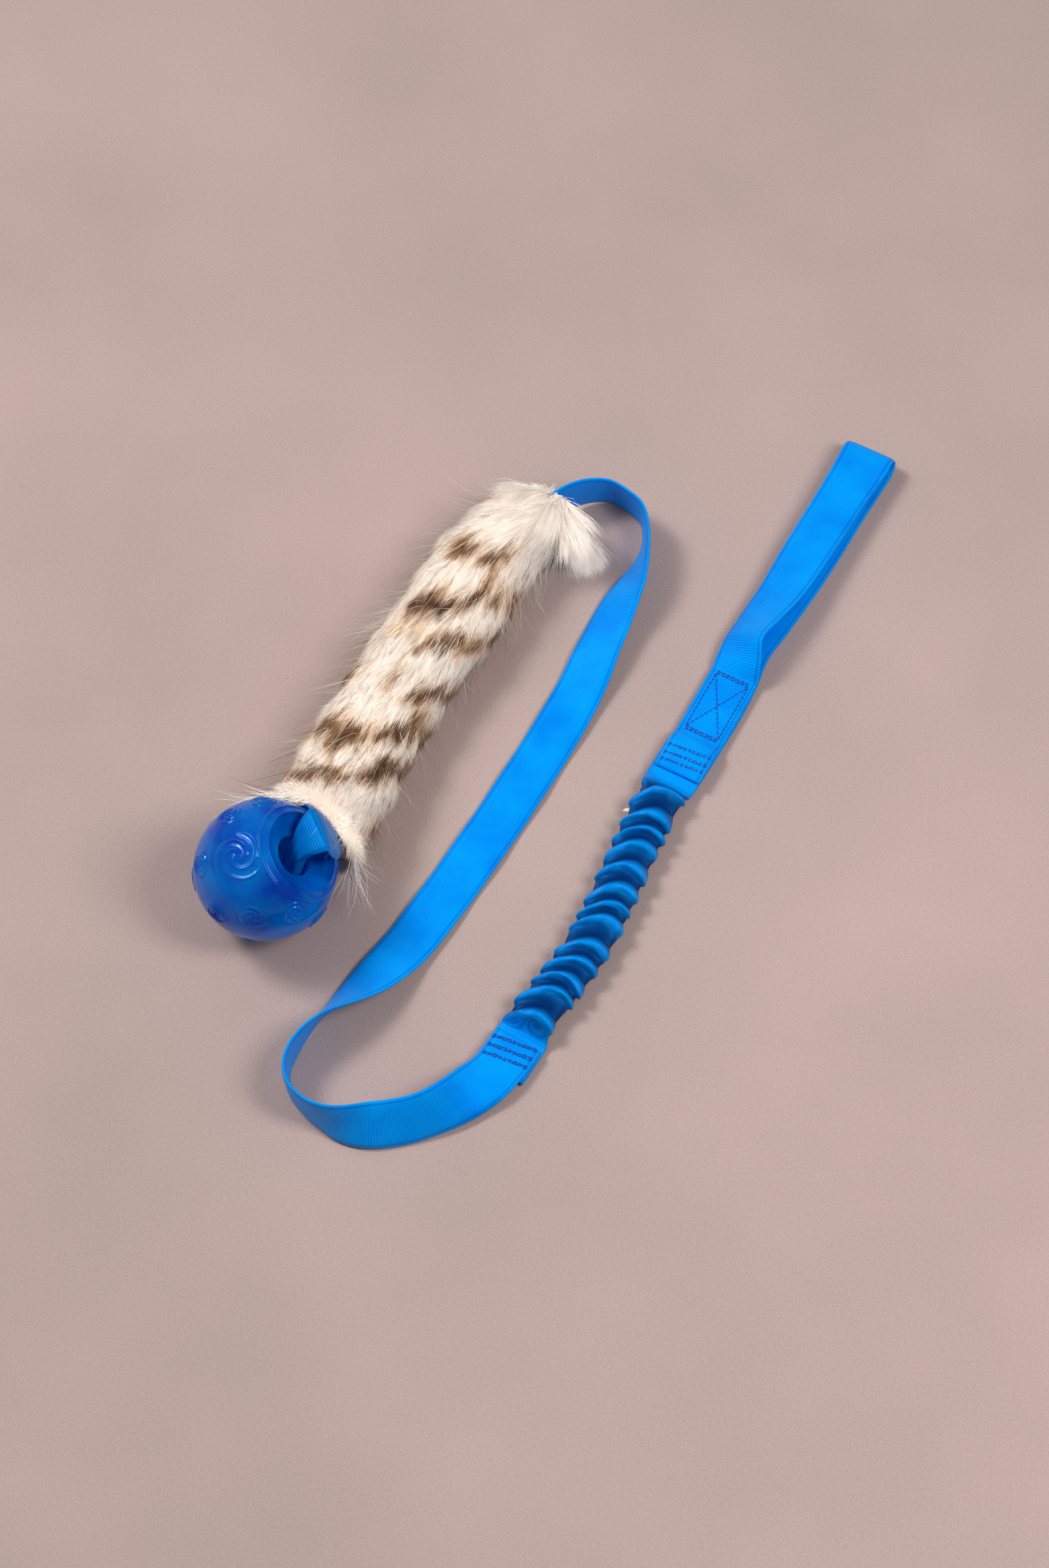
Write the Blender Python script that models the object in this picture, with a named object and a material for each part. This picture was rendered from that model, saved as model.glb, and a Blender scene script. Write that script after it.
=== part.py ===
"""A bungee tug toy for dogs.

It has a webbing hand loop, a ruched bungee, a long loose strap, a fur sleeve and a hollow ball. Metres,
+Z up. The toy lies on the plane z = 0 with its length along +Y, and the origin is under the middle of
everything but the loose strap.
"""

import math
import random

import bmesh
import bpy
from mathutils import Matrix, Vector

# Webbing, shared by the strap, the hand loop and the fold at the ball
WEB_WIDTH = 0.025
WEB_THICKNESS = 0.0024
WEB_EDGE = 0.0010
WEB_STEP = 0.0075
SEAT_GAP = 0.0003
FLOOR_GAP = 0.0002
SHARP_DEGREES = 50.0

# The strap's route by hand, from inside the sleeve's mouth to the bungee: x, y, lift of its lower edge over
# the ground, and the roll in degrees that raises its left-hand edge
SLEEVE_ROUTE = [
    (-0.0580, -0.1170, 0.0218, 0),
    (-0.0600, -0.0980, 0.0180, 0),
    (-0.0615, -0.0750, 0.0158, 0),
    (-0.0620, -0.0400, 0.0148, 2),
    (-0.0620, 0.0000, 0.0135, 8),
    (-0.0595, 0.0380, 0.0090, 30),
    (-0.0530, 0.0660, 0.0048, 62),
    (-0.0450, 0.0860, 0.0034, 85),
]
STRAP_ROUTE = [
    (-0.0450, 0.0860, 0.0034, 85),
    (-0.0395, 0.0985, 0.0034, 90),
    (-0.0320, 0.1080, 0.0020, 93),
    (-0.0225, 0.1135, 0.0008, 95),
    (-0.0120, 0.1130, 0.0002, 95),
    (-0.0010, 0.1080, 0.0002, 92),
    (0.0065, 0.0965, 0.0002, 84),
    (0.0100, 0.0830, 0.0002, 66),
    (0.0110, 0.0720, 0.0002, 48),
    (0.0110, 0.0620, 0.0002, 37),
    (0.0115, 0.0500, 0.0002, 28),
    (0.0130, 0.0320, 0.0002, 20),
    (0.0150, 0.0120, 0.0002, 10),
    (0.0158, -0.0100, 0.0002, 2),
    (0.0155, -0.0300, 0.0002, 0),
    (0.0148, -0.0550, 0.0002, 0),
    (0.0130, -0.0910, 0.0002, 0),
    (0.0105, -0.1250, 0.0002, 0),
    (0.0080, -0.1500, 0.0002, 3),
    (0.0050, -0.1680, 0.0002, 10),
    (0.0010, -0.1850, 0.0002, 26),
    (-0.0040, -0.2010, 0.0002, 50),
    (-0.0090, -0.2160, 0.0002, 74),
    (-0.0120, -0.2310, 0.0002, 88),
    (-0.0110, -0.2440, 0.0002, 92),
    (-0.0045, -0.2540, 0.0002, 94),
    (0.0055, -0.2590, 0.0002, 92),
    (0.0165, -0.2600, 0.0002, 84),
    (0.0275, -0.2580, 0.0002, 66),
    (0.0390, -0.2520, 0.0002, 50),
    (0.0510, -0.2430, 0.0003, 48),
    (0.0600, -0.2340, 0.0006, 48),
    (0.0670, -0.2235, 0.0012, 38),
    (0.0725, -0.2110, 0.0022, 20),
    (0.0748, -0.2045, 0.0036, 7),
    (0.0766, -0.1980, 0.0041, 0),
    (0.0779, -0.1890, 0.0041, 0),
    (0.0788, -0.1785, 0.0041, 0),
]

NECK_HEADING_DEGREES = 67.0

# The bungee's route by hand, from the lower tack to the hand loop: x and y. Its direction at a place is
# taken between two points at this reach before and after it
BUNGEE_REACH = 0.0010
BUNGEE_ROUTE = [
    (0.0776, -0.1960),
    (0.0786, -0.1840),
    (0.0795, -0.1700),
    (0.0822, -0.1500),
    (0.0852, -0.1270),
    (0.0850, -0.1020),
    (0.0828, -0.0760),
    (0.0808, -0.0500),
    (0.0796, -0.0280),
    (0.0800, -0.0130),
    (0.0805, 0.0010),
]

# Ruched cover over the bungee
COVER_PLEATS = 14
COVER_CREST_WIDTH = 0.0262
COVER_CREST_HEIGHT = 0.0148
COVER_VALLEY_WIDTH = 0.0205
COVER_VALLEY_HEIGHT = 0.0092
COVER_BORE_WIDTH = 0.0150
COVER_BORE_HEIGHT = 0.0068
COVER_FLAT_WIDTH = 0.0262
COVER_FLAT_HEIGHT = 0.0034
COVER_FLAT_BORE_WIDTH = 0.0226
COVER_FLAT_BORE_HEIGHT = 0.0020
COVER_FLAT_LENGTH = 0.0205
COVER_SWELL_LENGTH = 0.0090
COVER_BOW = 0.0034
COVER_SKEW = 0.0026
COVER_SIDES = 14
COVER_RING_SHARES = (0.0, 0.16, 0.37, 0.63, 0.84)
COVER_CREST_POWER = 0.75
COVER_UNEVEN_SHARE = 0.16
COVER_SEED = 5

# Elastic cord inside the cover
ELASTIC_DIAMETER = 0.0060
ELASTIC_FLAT_WIDTH = 0.0160
ELASTIC_FLAT_HEIGHT = 0.0014
ELASTIC_SIDES = 10
BORE_STEPS = 10
BORE_END_SHARES = (0.0, 0.33, 0.67)

# How square an oval is: round where the bungee is full, flatter where it is pressed, in the hide and fur
ROUND_POWER = 2.0
FLAT_POWER = 4.0
HIDE_POWER = 2.6
FUR_POWER = 2.2

# Hand loop: the lower layer runs out to the fold and the upper one comes back over it
LOOP_NEAR_END = -0.0150
LOOP_FAR_END = 0.2030
LOOP_BOX_TOP = 0.0500
LOOP_SLOPE_END = 0.0100
LOOP_STACK_END = 0.0030
LOOP_X = 0.0810
LOOP_RISE = 0.0120
LOOP_FOLD_RADIUS = 0.0054
LOOP_LOWER_SHIFTS = [
    (-0.0150, -0.0010),
    (0.0050, 0.0000),
    (0.0300, 0.0006),
    (0.0480, 0.0000),
    (0.0680, -0.0022),
    (0.0880, -0.0002),
    (0.1180, 0.0026),
    (0.1480, 0.0040),
    (0.1960, 0.0049),
]
LOOP_FOLD_WIDTH_SHARE = 1.09
LOOP_WIDEN_FROM = 0.1600
LOOP_UPPER_SHARES = [
    (0.00, 0.00, 0, 0.00),
    (0.05, 0.62, 18, -0.06),
    (0.12, 1.12, 37, -0.15),
    (0.22, 1.10, 31, -0.08),
    (0.34, 1.03, 20, 0.02),
    (0.50, 1.00, 9, 0.06),
    (0.70, 1.00, 3, 0.11),
    (0.88, 0.97, 0, 0.15),
]
LOOP_FOLD_STEPS = 6

# Stitching
THREAD_DIAMETER = 0.0007
BOX_WIDTH = 0.0180
BOX_LENGTH = 0.0340
BOX_NEAR_END = 0.0128
BOX_CORNER_SHARE = 0.9
BOX_CROSS_SHARE = 0.2
ROW_WIDTH = 0.0230
ROW_STITCHES = 7
BOX_ROW_STITCHES = 6
BOX_ROW_OFFSET = 0.0016
ROW_ZIGZAG = 0.0009
UPPER_ROW_PLACES = (-0.0010, -0.0058, -0.0100)
LOWER_ROW_PLACES = (-0.1812, -0.1862, -0.1910)
ROW_SLANT_SHARE = 0.10

# Ball
BALL_RADIUS = 0.0346
BALL_WALL = 0.0042
BALL_X = -0.0650
BALL_Y = -0.1680
HOLE_TILT_DEGREES = 42.6
HOLE_TURN_DEGREES = 25.0
HOLE_RADIUS = 0.0100
DISH_EDGE_DEGREES = 37.0
DISH_DEPTH = 0.0050
DISH_LIP = 0.0006
DISH_WALL_SHARE = 0.9
DISH_BEND_SHARES = (0.55, 0.35)
BALL_SEGMENTS = 36
BALL_RINGS = 20
CAVITY_RINGS = 11
DISH_RINGS = 4
SPIRAL_HEIGHT = 0.0006
SPIRAL_WIDTH = 0.0011
SPIRAL_RADIUS = 0.0066
BIG_SPIRAL_RADIUS = 0.0125
SPIRAL_ARMS = 3
SPIRAL_STEPS = 7
SPIRAL_TURN_DEGREES = 250.0
SPIRAL_START_SHARE = 0.16
SPIRAL_TOP_SHARE = 0.45
SPIRAL_TIP_SHARE = 0.55
SPIRAL_TAPER_SHARES = (0.15, 0.85)
BIG_SPIRAL_PLACE = (62, 127)
SPIRAL_PLACES = [(77, 82), (103, 121), (107, 164), (77, 181), (54, 211), (60, 55), (72, 252), (80, 300)]

# Strap between the sleeve and the ball: its middle in shares of the ball's radius from the ball's centre,
# the shares of the webbing's width and thickness that it shows, how far it hugs the ball, and the turn of
# its level cross direction in degrees. From the hug share on it is kept clear of the ball
FOLD_SHARES = [
    (0.204, 1.474, -0.335, 1.00, 1.0, 0.0, 7),
    (0.245, 1.185, -0.231, 1.00, 1.0, 0.2, 2),
    (0.300, 1.020, 0.000, 1.00, 1.0, 1.0, -15),
    (0.484, 0.906, 0.278, 1.00, 1.0, 1.0, -30),
    (0.620, 0.750, 0.420, 1.00, 1.0, 1.0, -39),
    (0.690, 0.630, 0.620, 1.00, 1.0, 0.8, -39),
    (0.610, 0.555, 0.800, 1.00, 1.1, 0.0, -39),
    (0.530, 0.450, 0.755, 0.86, 1.2, 0.0, -39),
    (0.475, 0.375, 0.660, 0.70, 1.7, 0.0, -39),
    (0.440, 0.320, 0.550, 0.54, 2.2, 0.0, -39),
    (0.400, 0.270, 0.440, 0.48, 2.4, 0.0, -39),
    (0.380, 0.130, 0.150, 0.38, 2.3, 0.0, -39),
    (0.385, 0.040, -0.200, 0.32, 2.1, 0.0, -39),
    (0.375, 0.010, -0.390, 0.28, 1.9, 0.0, -45),
    (0.325, -0.002, -0.545, 0.25, 1.75, 0.0, -65),
    (0.214, -0.006, -0.541, 0.25, 1.75, 0.0, -85),
]
FOLD_ROOM = 0.0009
FOLD_LIFT = WEB_THICKNESS / 2 + SPIRAL_HEIGHT + FOLD_ROOM
FOLD_STEPS = 30
FOLD_HUG_SHARE = 0.5

# Knot in the ball: an overhand knot lying on the floor of the hollow, in shares of the hollow's radius
KNOT_SIZE_SHARE = 0.115
KNOT_RISE_SHARE = 1.30
KNOT_PLACE_SHARES = (0.0455, -0.273, -0.660)
KNOT_TURN_DEGREES = 60.0
KNOT_STRAND_SHARES = (0.204, 0.138)
KNOT_STEPS = 40
KNOT_SIDES = 7
KNOT_GAP_DEGREES = 20.0
TAIL_LENGTH_SHARE = 0.23
TAIL_SPREAD_SHARE = 1.35
TAIL_THIN_SHARE = 0.75
TAIL_STEPS = 3

# Fur sleeve
SLEEVE_SIDES = 18
HIDE_WALL = 0.0013
HIDE_BORE_WIDTH = 0.0266
HIDE_BORE_HEIGHT = 0.0060
PILE_GAP = 0.0004
MOUTH_ROOM = 0.0007
MOUTH_GAP = FOLD_LIFT + WEB_THICKNESS / 2 + MOUTH_ROOM
MOUTH_SEGMENTS = 28
MOUTH_FROM_BALL = (0.0100, 0.0290, -0.0076)
MOUTH_REACH_SHARE = 0.28
PILE_WIDTH = 0.0500
PILE_HEIGHT = 0.0335
MOUTH_WIDTH_SHARE = 0.73
MOUTH_HEIGHT_SHARE = 0.925
PILE_SHAPE_SHARES = [
    (0.00, 0.92, 1.22, 0.00),
    (0.08, 0.99, 1.17, 0.00),
    (0.18, 1.03, 1.06, 0.00),
    (0.32, 1.00, 1.00, 0.00),
    (0.50, 0.98, 1.00, 0.02),
    (0.66, 1.02, 1.00, 0.06),
    (0.80, 0.98, 1.02, 0.02),
    (0.90, 0.84, 1.02, 0.00),
    (1.00, 0.64, 1.00, 0.00),
]
PILE_LUMP_SHARE = 0.045
PILE_LUMPS = 10
PILE_FLAT_DEPTH = 0.0008
CUFF_LENGTH = 0.0075
CUFF_INSET = 0.0006
CUFF_FRAMES = 7
RUFF_LENGTH = 0.0130
RUFF_BORE_WIDTH = 0.0130
RUFF_BORE_SHARE = 1.04
RUFF_FLOOR = 0.0006
RUFF_FLARE_SHARE = 1.22
RUFF_STEPS = 4

COLOURS = {
    "webbing": ((0.0, 0.22, 0.80), 0.55, 0.0),
    "cover": ((0.0, 0.20, 0.76), 0.60, 0.0),
    "thread": ((0.0, 0.12, 0.55), 0.60, 0.0),
    "elastic": ((0.80, 0.79, 0.75), 0.70, 0.0),
    "hide": ((0.72, 0.56, 0.48), 0.70, 0.0),
    "fur": ((0.86, 0.79, 0.70), 0.85, 0.0),
    "ball": ((0.0, 0.06, 0.45), 0.20, 0.0),
}

# Joints: what slides with the hand loop, what swings with the strap's end, and where those joints are
STRETCH_PLACE = (LOOP_X, LOOP_NEAR_END, WEB_THICKNESS)
SWING_PLACE = (-0.0435, -0.1490, 0.0625)
HANDLE_PIECES = ["handle_loop", "x_box_thread", "box_row_near", "box_row_far"]
HANDLE_PIECES += [f"upper_tack_row_{k + 1}" for k in range(len(UPPER_ROW_PLACES))]
TAIL_PIECES = ["strap_fold", "tail_knot", "tail_end"]

BALL_CENTRE = Vector((BALL_X, BALL_Y, BALL_RADIUS))
HOLE_AXIS = Vector((0, 0, 1))
HOLE_AXIS.rotate(Matrix.Rotation(math.radians(HOLE_TILT_DEGREES), 3, "Y"))
HOLE_AXIS.rotate(Matrix.Rotation(math.radians(HOLE_TURN_DEGREES), 3, "Z"))
UP = Vector((0, 0, 1))


def clear_scene():
    for obj in list(bpy.data.objects):
        bpy.data.objects.remove(obj, do_unlink=True)


def material(name):
    found = bpy.data.materials.get(name)
    if found:
        return found
    colour, roughness, metallic = COLOURS[name]
    found = bpy.data.materials.new(name)
    found.use_nodes = True
    shader = found.node_tree.nodes["Principled BSDF"]
    shader.inputs["Base Color"].default_value = (*colour, 1)
    shader.inputs["Roughness"].default_value = roughness
    shader.inputs["Metallic"].default_value = metallic
    return found


def add_mesh(name, bm, material_name, smooth=True):
    """A new object from the bmesh, with its faces turned outwards."""
    bmesh.ops.recalc_face_normals(bm, faces=bm.faces)
    mesh = bpy.data.meshes.new(name)
    bm.to_mesh(mesh)
    bm.free()
    mesh.materials.append(material(material_name))
    if smooth:
        mesh.shade_smooth()
        mesh.set_sharp_from_angle(angle=math.radians(SHARP_DEGREES))
    obj = bpy.data.objects.new(name, mesh)
    bpy.context.scene.collection.objects.link(obj)
    return obj


def boolean(obj, other, operation):
    modifier = obj.modifiers.new(other.name, "BOOLEAN")
    modifier.operation = operation
    modifier.solver = "EXACT"
    modifier.object = other
    other.hide_render = True
    other.display_type = "WIRE"


def hermite(rows, at, along):
    """The row at one distance along a smooth curve through the rows; their distances are in at."""
    last = len(rows) - 1
    i = next((k for k in range(last) if along <= at[k + 1]), last - 1)
    span = at[i + 1] - at[i]
    t = (along - at[i]) / span
    before = max(i - 1, 0)
    after = min(i + 2, last)
    found = []
    for column in range(len(rows[0])):
        a = rows[i][column]
        b = rows[i + 1][column]
        slope_a = (b - rows[before][column]) / (at[i + 1] - at[before]) * span
        slope_b = (rows[after][column] - a) / (at[after] - at[i]) * span
        found.append(
            a * (1 + 2 * t) * (1 - t) ** 2
            + slope_a * t * (1 - t) ** 2
            + b * t * t * (3 - 2 * t)
            + slope_b * t * t * (t - 1)
        )
    return found


def distances(rows, columns):
    at = [0.0]
    for a, b in zip(rows, rows[1:]):
        at.append(at[-1] + math.dist(a[:columns], b[:columns]))
    return at


def smooth_rows(rows, count, columns=3):
    """Rows spaced evenly along a smooth curve through the given ones, whose first columns are a place."""
    at = distances(rows, columns)
    return [hermite(rows, at, at[-1] * k / count) for k in range(count + 1)]


def directions(points):
    """The unit direction of travel at each point."""
    found = []
    for i in range(len(points)):
        found.append((points[min(i + 1, len(points) - 1)] - points[max(i - 1, 0)]).normalized())
    return found


def web_ring(centre, cross, normal, width=WEB_WIDTH, thickness=WEB_THICKNESS, cup=0.0):
    """One cross-section of webbing: flat faces and rounded edges, cupped round a curvature if asked."""
    half = width / 2
    face = half - WEB_EDGE
    outline = [(half, 0), (face, 1), (0, 1), (-face, 1), (-half, 0), (-face, -1), (0, -1), (face, -1)]
    ring = []
    for across, side in outline:
        height = side * thickness / 2 - cup * across * across
        ring.append(centre + cross * across + normal * height)
    return ring


def oval_ring(centre, cross, normal, width, height, sides, power=ROUND_POWER):
    """One oval cross-section; a higher power gives flatter faces."""
    ring = []
    for k in range(sides):
        angle = 2 * math.pi * (k + 0.5) / sides
        c, s = math.cos(angle), math.sin(angle)
        across = math.copysign(abs(c) ** (2 / power), c) * width / 2
        up = math.copysign(abs(s) ** (2 / power), s) * height / 2
        ring.append(centre + cross * across + normal * up)
    return ring


def skin(bm, rings):
    """Verts of each ring, joined to the next ring with faces."""
    made = [[bm.verts.new(p) for p in ring] for ring in rings]
    for a, b in zip(made, made[1:]):
        for k in range(len(a)):
            n = (k + 1) % len(a)
            bm.faces.new((a[k], a[n], b[n], b[k]))
    return made


def solid_loft(name, rings, material_name):
    bm = bmesh.new()
    made = skin(bm, rings)
    bm.faces.new(made[0])
    bm.faces.new(made[-1])
    return add_mesh(name, bm, material_name)


def ring_distance(a, b, shift):
    """The sum of the distances between the verts of two rings, with the second one turned by a shift."""
    return sum((a[k].co - b[(k + shift) % len(b)].co).length for k in range(len(a)))


def hollow_loft(name, outer, inner, material_name):
    """A tube with open ends from its outer and its inner rings."""
    bm = bmesh.new()
    outside = skin(bm, outer)
    inside = skin(bm, inner)
    for a, b in ((outside[0], inside[0]), (outside[-1], inside[-1])):
        count = len(a)
        turn = min(range(count), key=lambda shift: ring_distance(a, b, shift))
        for k in range(count):
            n = (k + 1) % count
            bm.faces.new((a[k], a[n], b[(n + turn) % count], b[(k + turn) % count]))
    return add_mesh(name, bm, material_name)


def thread(name, points, closed=False):
    """A sewing thread along the points."""
    curve = bpy.data.curves.new(name, "CURVE")
    curve.dimensions = "3D"
    curve.bevel_depth = THREAD_DIAMETER / 2
    curve.bevel_resolution = 0
    curve.use_fill_caps = not closed
    spline = curve.splines.new("POLY")
    spline.points.add(len(points) - 1)
    for point, place in zip(spline.points, points):
        point.co = (*place, 1)
    spline.use_cyclic_u = closed
    curve.materials.append(material("thread"))
    obj = bpy.data.objects.new(name, curve)
    bpy.context.scene.collection.objects.link(obj)
    return obj


def strap_frames(rows, neck_end):
    """Centres, cross directions and normals of webbing on its lower edge at each row's lift and roll.

    The end at the sleeve's neck, 0 or -1, faces along the neck's heading, so two stretches meet squarely.
    """
    count = round(distances(rows, 2)[-1] / WEB_STEP)
    path = smooth_rows(rows, count, columns=2)
    centres, rolls = [], []
    for x, y, lift, roll in path:
        roll = math.radians(roll)
        rest = (WEB_WIDTH - WEB_THICKNESS) / 2 * abs(math.sin(roll)) + WEB_THICKNESS / 2
        centres.append(Vector((x, y, lift + rest)))
        rolls.append(roll)
    ways = directions(centres)
    heading = math.radians(NECK_HEADING_DEGREES)
    ways[neck_end] = Vector((math.cos(heading), math.sin(heading), 0))
    crosses, normals = [], []
    for way, roll in zip(ways, rolls):
        left = UP.cross(way).normalized()
        crosses.append(left * math.cos(roll) + way.cross(left) * math.sin(roll))
        normals.append(way.cross(crosses[-1]))
    return centres, crosses, normals


def make_strap():
    """The loose strap from the sleeve's neck to the tack at the bungee."""
    centres, crosses, normals = strap_frames(STRAP_ROUTE, 0)
    rings = [web_ring(*frame) for frame in zip(centres, crosses, normals)]
    return solid_loft("strap", rings, "webbing")


def sleeve_frames():
    centres, crosses, normals = strap_frames(SLEEVE_ROUTE, -1)
    way = (centres[-1] - centres[-2]).normalized()
    centres[-1] = centres[-1] - way * SEAT_GAP
    return centres, crosses, normals


def make_sleeve_strap():
    """The stretch of strap inside the sleeve."""
    rings = [web_ring(*frame) for frame in zip(*sleeve_frames())]
    return solid_loft("sleeve_strap", rings, "webbing")


def mixed(a, b, share):
    return a + (b - a) * share


def eased(t):
    t = min(max(t, 0.0), 1.0)
    return t * t * (3 - 2 * t)


def bungee_height(flat, upper):
    """Height of the bungee's middle: on the ground, or between the layers of the hand loop."""
    low = FLOOR_GAP + COVER_FLAT_HEIGHT / 2
    high = WEB_THICKNESS + SEAT_GAP + COVER_FLAT_HEIGHT / 2
    puffed = FLOOR_GAP + COVER_CREST_HEIGHT / 2
    return mixed(high if upper else low, puffed, flat)


def bungee_swell(along, length):
    """0 where the cover is pressed flat in a tack, 1 where it is full."""
    end = min(along, length - along)
    return eased((end - COVER_FLAT_LENGTH) / COVER_SWELL_LENGTH)


def bungee_power(swell):
    return mixed(FLAT_POWER, ROUND_POWER, swell)


def bungee_stations(places):
    """Centre, cross direction, normal and swell at each distance along the bungee."""
    at = distances(BUNGEE_ROUTE, 2)
    length = at[-1]
    found = []
    for along in places:
        a = hermite(BUNGEE_ROUTE, at, max(along - BUNGEE_REACH, 0))
        b = hermite(BUNGEE_ROUTE, at, min(along + BUNGEE_REACH, length))
        x, y = hermite(BUNGEE_ROUTE, at, along)
        way = Vector((b[0] - a[0], b[1] - a[1], 0)).normalized()
        swell = bungee_swell(along, length)
        centre = Vector((x, y, bungee_height(swell, along > length / 2)))
        found.append((centre, way.cross(UP), UP.copy(), way, swell))
    return found


def bore_places():
    """Where the cover's bore and the elastic in it have their cross-sections."""
    length = distances(BUNGEE_ROUTE, 2)[-1]
    near = [0.0] + [COVER_FLAT_LENGTH + share * COVER_SWELL_LENGTH for share in BORE_END_SHARES]
    full = COVER_FLAT_LENGTH + COVER_SWELL_LENGTH
    middle = [mixed(full, length - full, k / BORE_STEPS) for k in range(BORE_STEPS + 1)]
    return near + middle + [length - place for place in reversed(near)]


def make_cover():
    """The fabric cover, gathered into crescent pleats over the elastic."""
    length = distances(BUNGEE_ROUTE, 2)[-1]
    uneven = random.Random(COVER_SEED)
    pitch = (length - 2 * COVER_FLAT_LENGTH) / COVER_PLEATS
    places, ripples = [0.0, COVER_FLAT_LENGTH / 2], [1.0, 1.0]
    for pleat in range(COVER_PLEATS):
        fullness = 1 - COVER_UNEVEN_SHARE * uneven.random()
        for share in COVER_RING_SHARES:
            places.append(COVER_FLAT_LENGTH + (pleat + share) * pitch)
            ripples.append(fullness * abs(math.sin(math.pi * share)) ** COVER_CREST_POWER)
    places += [length - COVER_FLAT_LENGTH, length - COVER_FLAT_LENGTH / 2, length]
    ripples += [0.0, 1.0, 1.0]
    outer = []
    for (centre, cross, normal, way, swell), ripple in zip(bungee_stations(places), ripples):
        width = mixed(COVER_VALLEY_WIDTH, COVER_CREST_WIDTH, ripple)
        height = mixed(COVER_VALLEY_HEIGHT, COVER_CREST_HEIGHT, ripple)
        width = mixed(COVER_FLAT_WIDTH, width, swell)
        height = mixed(COVER_FLAT_HEIGHT, height, swell)
        ring = oval_ring(centre, cross, normal, width, height, COVER_SIDES, bungee_power(swell))
        for k, point in enumerate(ring):
            side = (point - centre).dot(cross) / (width / 2)
            push = COVER_BOW * (1 - side * side) - COVER_SKEW * side
            ring[k] = point + way * push * swell
        outer.append(ring)
    inner = []
    for centre, cross, normal, _, swell in bungee_stations(bore_places()):
        width = mixed(COVER_FLAT_BORE_WIDTH, COVER_BORE_WIDTH, swell)
        height = mixed(COVER_FLAT_BORE_HEIGHT, COVER_BORE_HEIGHT, swell)
        inner.append(oval_ring(centre, cross, normal, width, height, COVER_SIDES, bungee_power(swell)))
    return hollow_loft("bungee_cover", outer, inner, "cover")


def make_elastic():
    """The elastic cord, pressed flat at both tacks."""
    rings = []
    for centre, cross, normal, _, swell in bungee_stations(bore_places()):
        width = mixed(ELASTIC_FLAT_WIDTH, ELASTIC_DIAMETER, swell)
        height = mixed(ELASTIC_FLAT_HEIGHT, ELASTIC_DIAMETER, swell)
        rings.append(oval_ring(centre, cross, normal, width, height, ELASTIC_SIDES, bungee_power(swell)))
    return solid_loft("bungee_elastic", rings, "elastic")


def layer_height(y):
    """Middle height of the loop's upper layer where it is sewn to the cover's end, then the lower layer."""
    on_layer = WEB_THICKNESS + WEB_THICKNESS / 2 + SEAT_GAP
    on_cover = on_layer + SEAT_GAP + COVER_FLAT_HEIGHT
    return mixed(on_cover, on_layer, eased((y - LOOP_STACK_END) / (LOOP_SLOPE_END - LOOP_STACK_END)))


def loop_lower_rows():
    at = [row[0] for row in LOOP_LOWER_SHIFTS]
    start = LOOP_NEAR_END
    end = LOOP_FAR_END - LOOP_FOLD_RADIUS - WEB_THICKNESS / 2
    count = round((end - start) / WEB_STEP)
    rows = []
    for k in range(count + 1):
        y = mixed(start, end, k / count)
        shift = hermite(LOOP_LOWER_SHIFTS, at, min(y, at[-1]))[1]
        rows.append((LOOP_X + shift, y, WEB_THICKNESS / 2, 0))
    return rows


def loop_upper_rows():
    """The upper layer's free part from the sewn box to the fold: x, y, height and roll."""
    reach = LOOP_FAR_END - LOOP_BOX_TOP
    base = layer_height(LOOP_BOX_TOP)
    rows = []
    for along, rise, roll, shift in LOOP_UPPER_SHARES:
        height = base + (LOOP_RISE - base) * rise
        rows.append((LOOP_X + shift * WEB_WIDTH, LOOP_BOX_TOP + along * reach, height, roll))
    count = round(LOOP_UPPER_SHARES[-1][0] * reach / WEB_STEP)
    return smooth_rows(rows, count)


def loop_fold_rows(first, last):
    """The turn from the lower layer to the upper one, as a half oval."""
    rows = []
    middle = (first[2] + last[2]) / 2
    half = (last[2] - first[2]) / 2
    reach = LOOP_FAR_END - WEB_THICKNESS / 2 - first[1]
    for k in range(1, LOOP_FOLD_STEPS):
        angle = math.pi * (k / LOOP_FOLD_STEPS - 0.5)
        x = mixed(first[0], last[0], k / LOOP_FOLD_STEPS)
        rows.append((x, first[1] + reach * math.cos(angle), middle + half * math.sin(angle), 0))
    return rows


def make_handle():
    """The hand loop: one length of webbing, folded back on itself and sewn down over the bungee's end."""
    lower = loop_lower_rows()
    upper = loop_upper_rows()
    sewn = []
    count = round((LOOP_BOX_TOP - LOOP_NEAR_END) / (WEB_STEP / 2))
    for k in range(count):
        y = mixed(LOOP_NEAR_END, LOOP_BOX_TOP, k / count)
        sewn.append((LOOP_X, y, layer_height(y), 0))
    rows = lower + loop_fold_rows(lower[-1], upper[-1]) + upper[::-1] + sewn[::-1]
    centres = [Vector(row[:3]) for row in rows]
    rings = []
    for centre, way, row in zip(centres, directions(centres), rows):
        roll = math.radians(row[3])
        side = Vector((1, 0, 0))
        side = (side - way * side.dot(way)).normalized()
        over = side.cross(way)
        cross = side * math.cos(roll) + (UP if roll else over) * math.sin(roll)
        cross = (cross - way * cross.dot(way)).normalized()
        spread = eased((centre.y - LOOP_WIDEN_FROM) / (LOOP_FAR_END - LOOP_WIDEN_FROM))
        width = WEB_WIDTH * mixed(1, LOOP_FOLD_WIDTH_SHARE, spread)
        rings.append(web_ring(centre, cross, cross.cross(way), width))
    return solid_loft("handle_loop", rings, "webbing")


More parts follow.
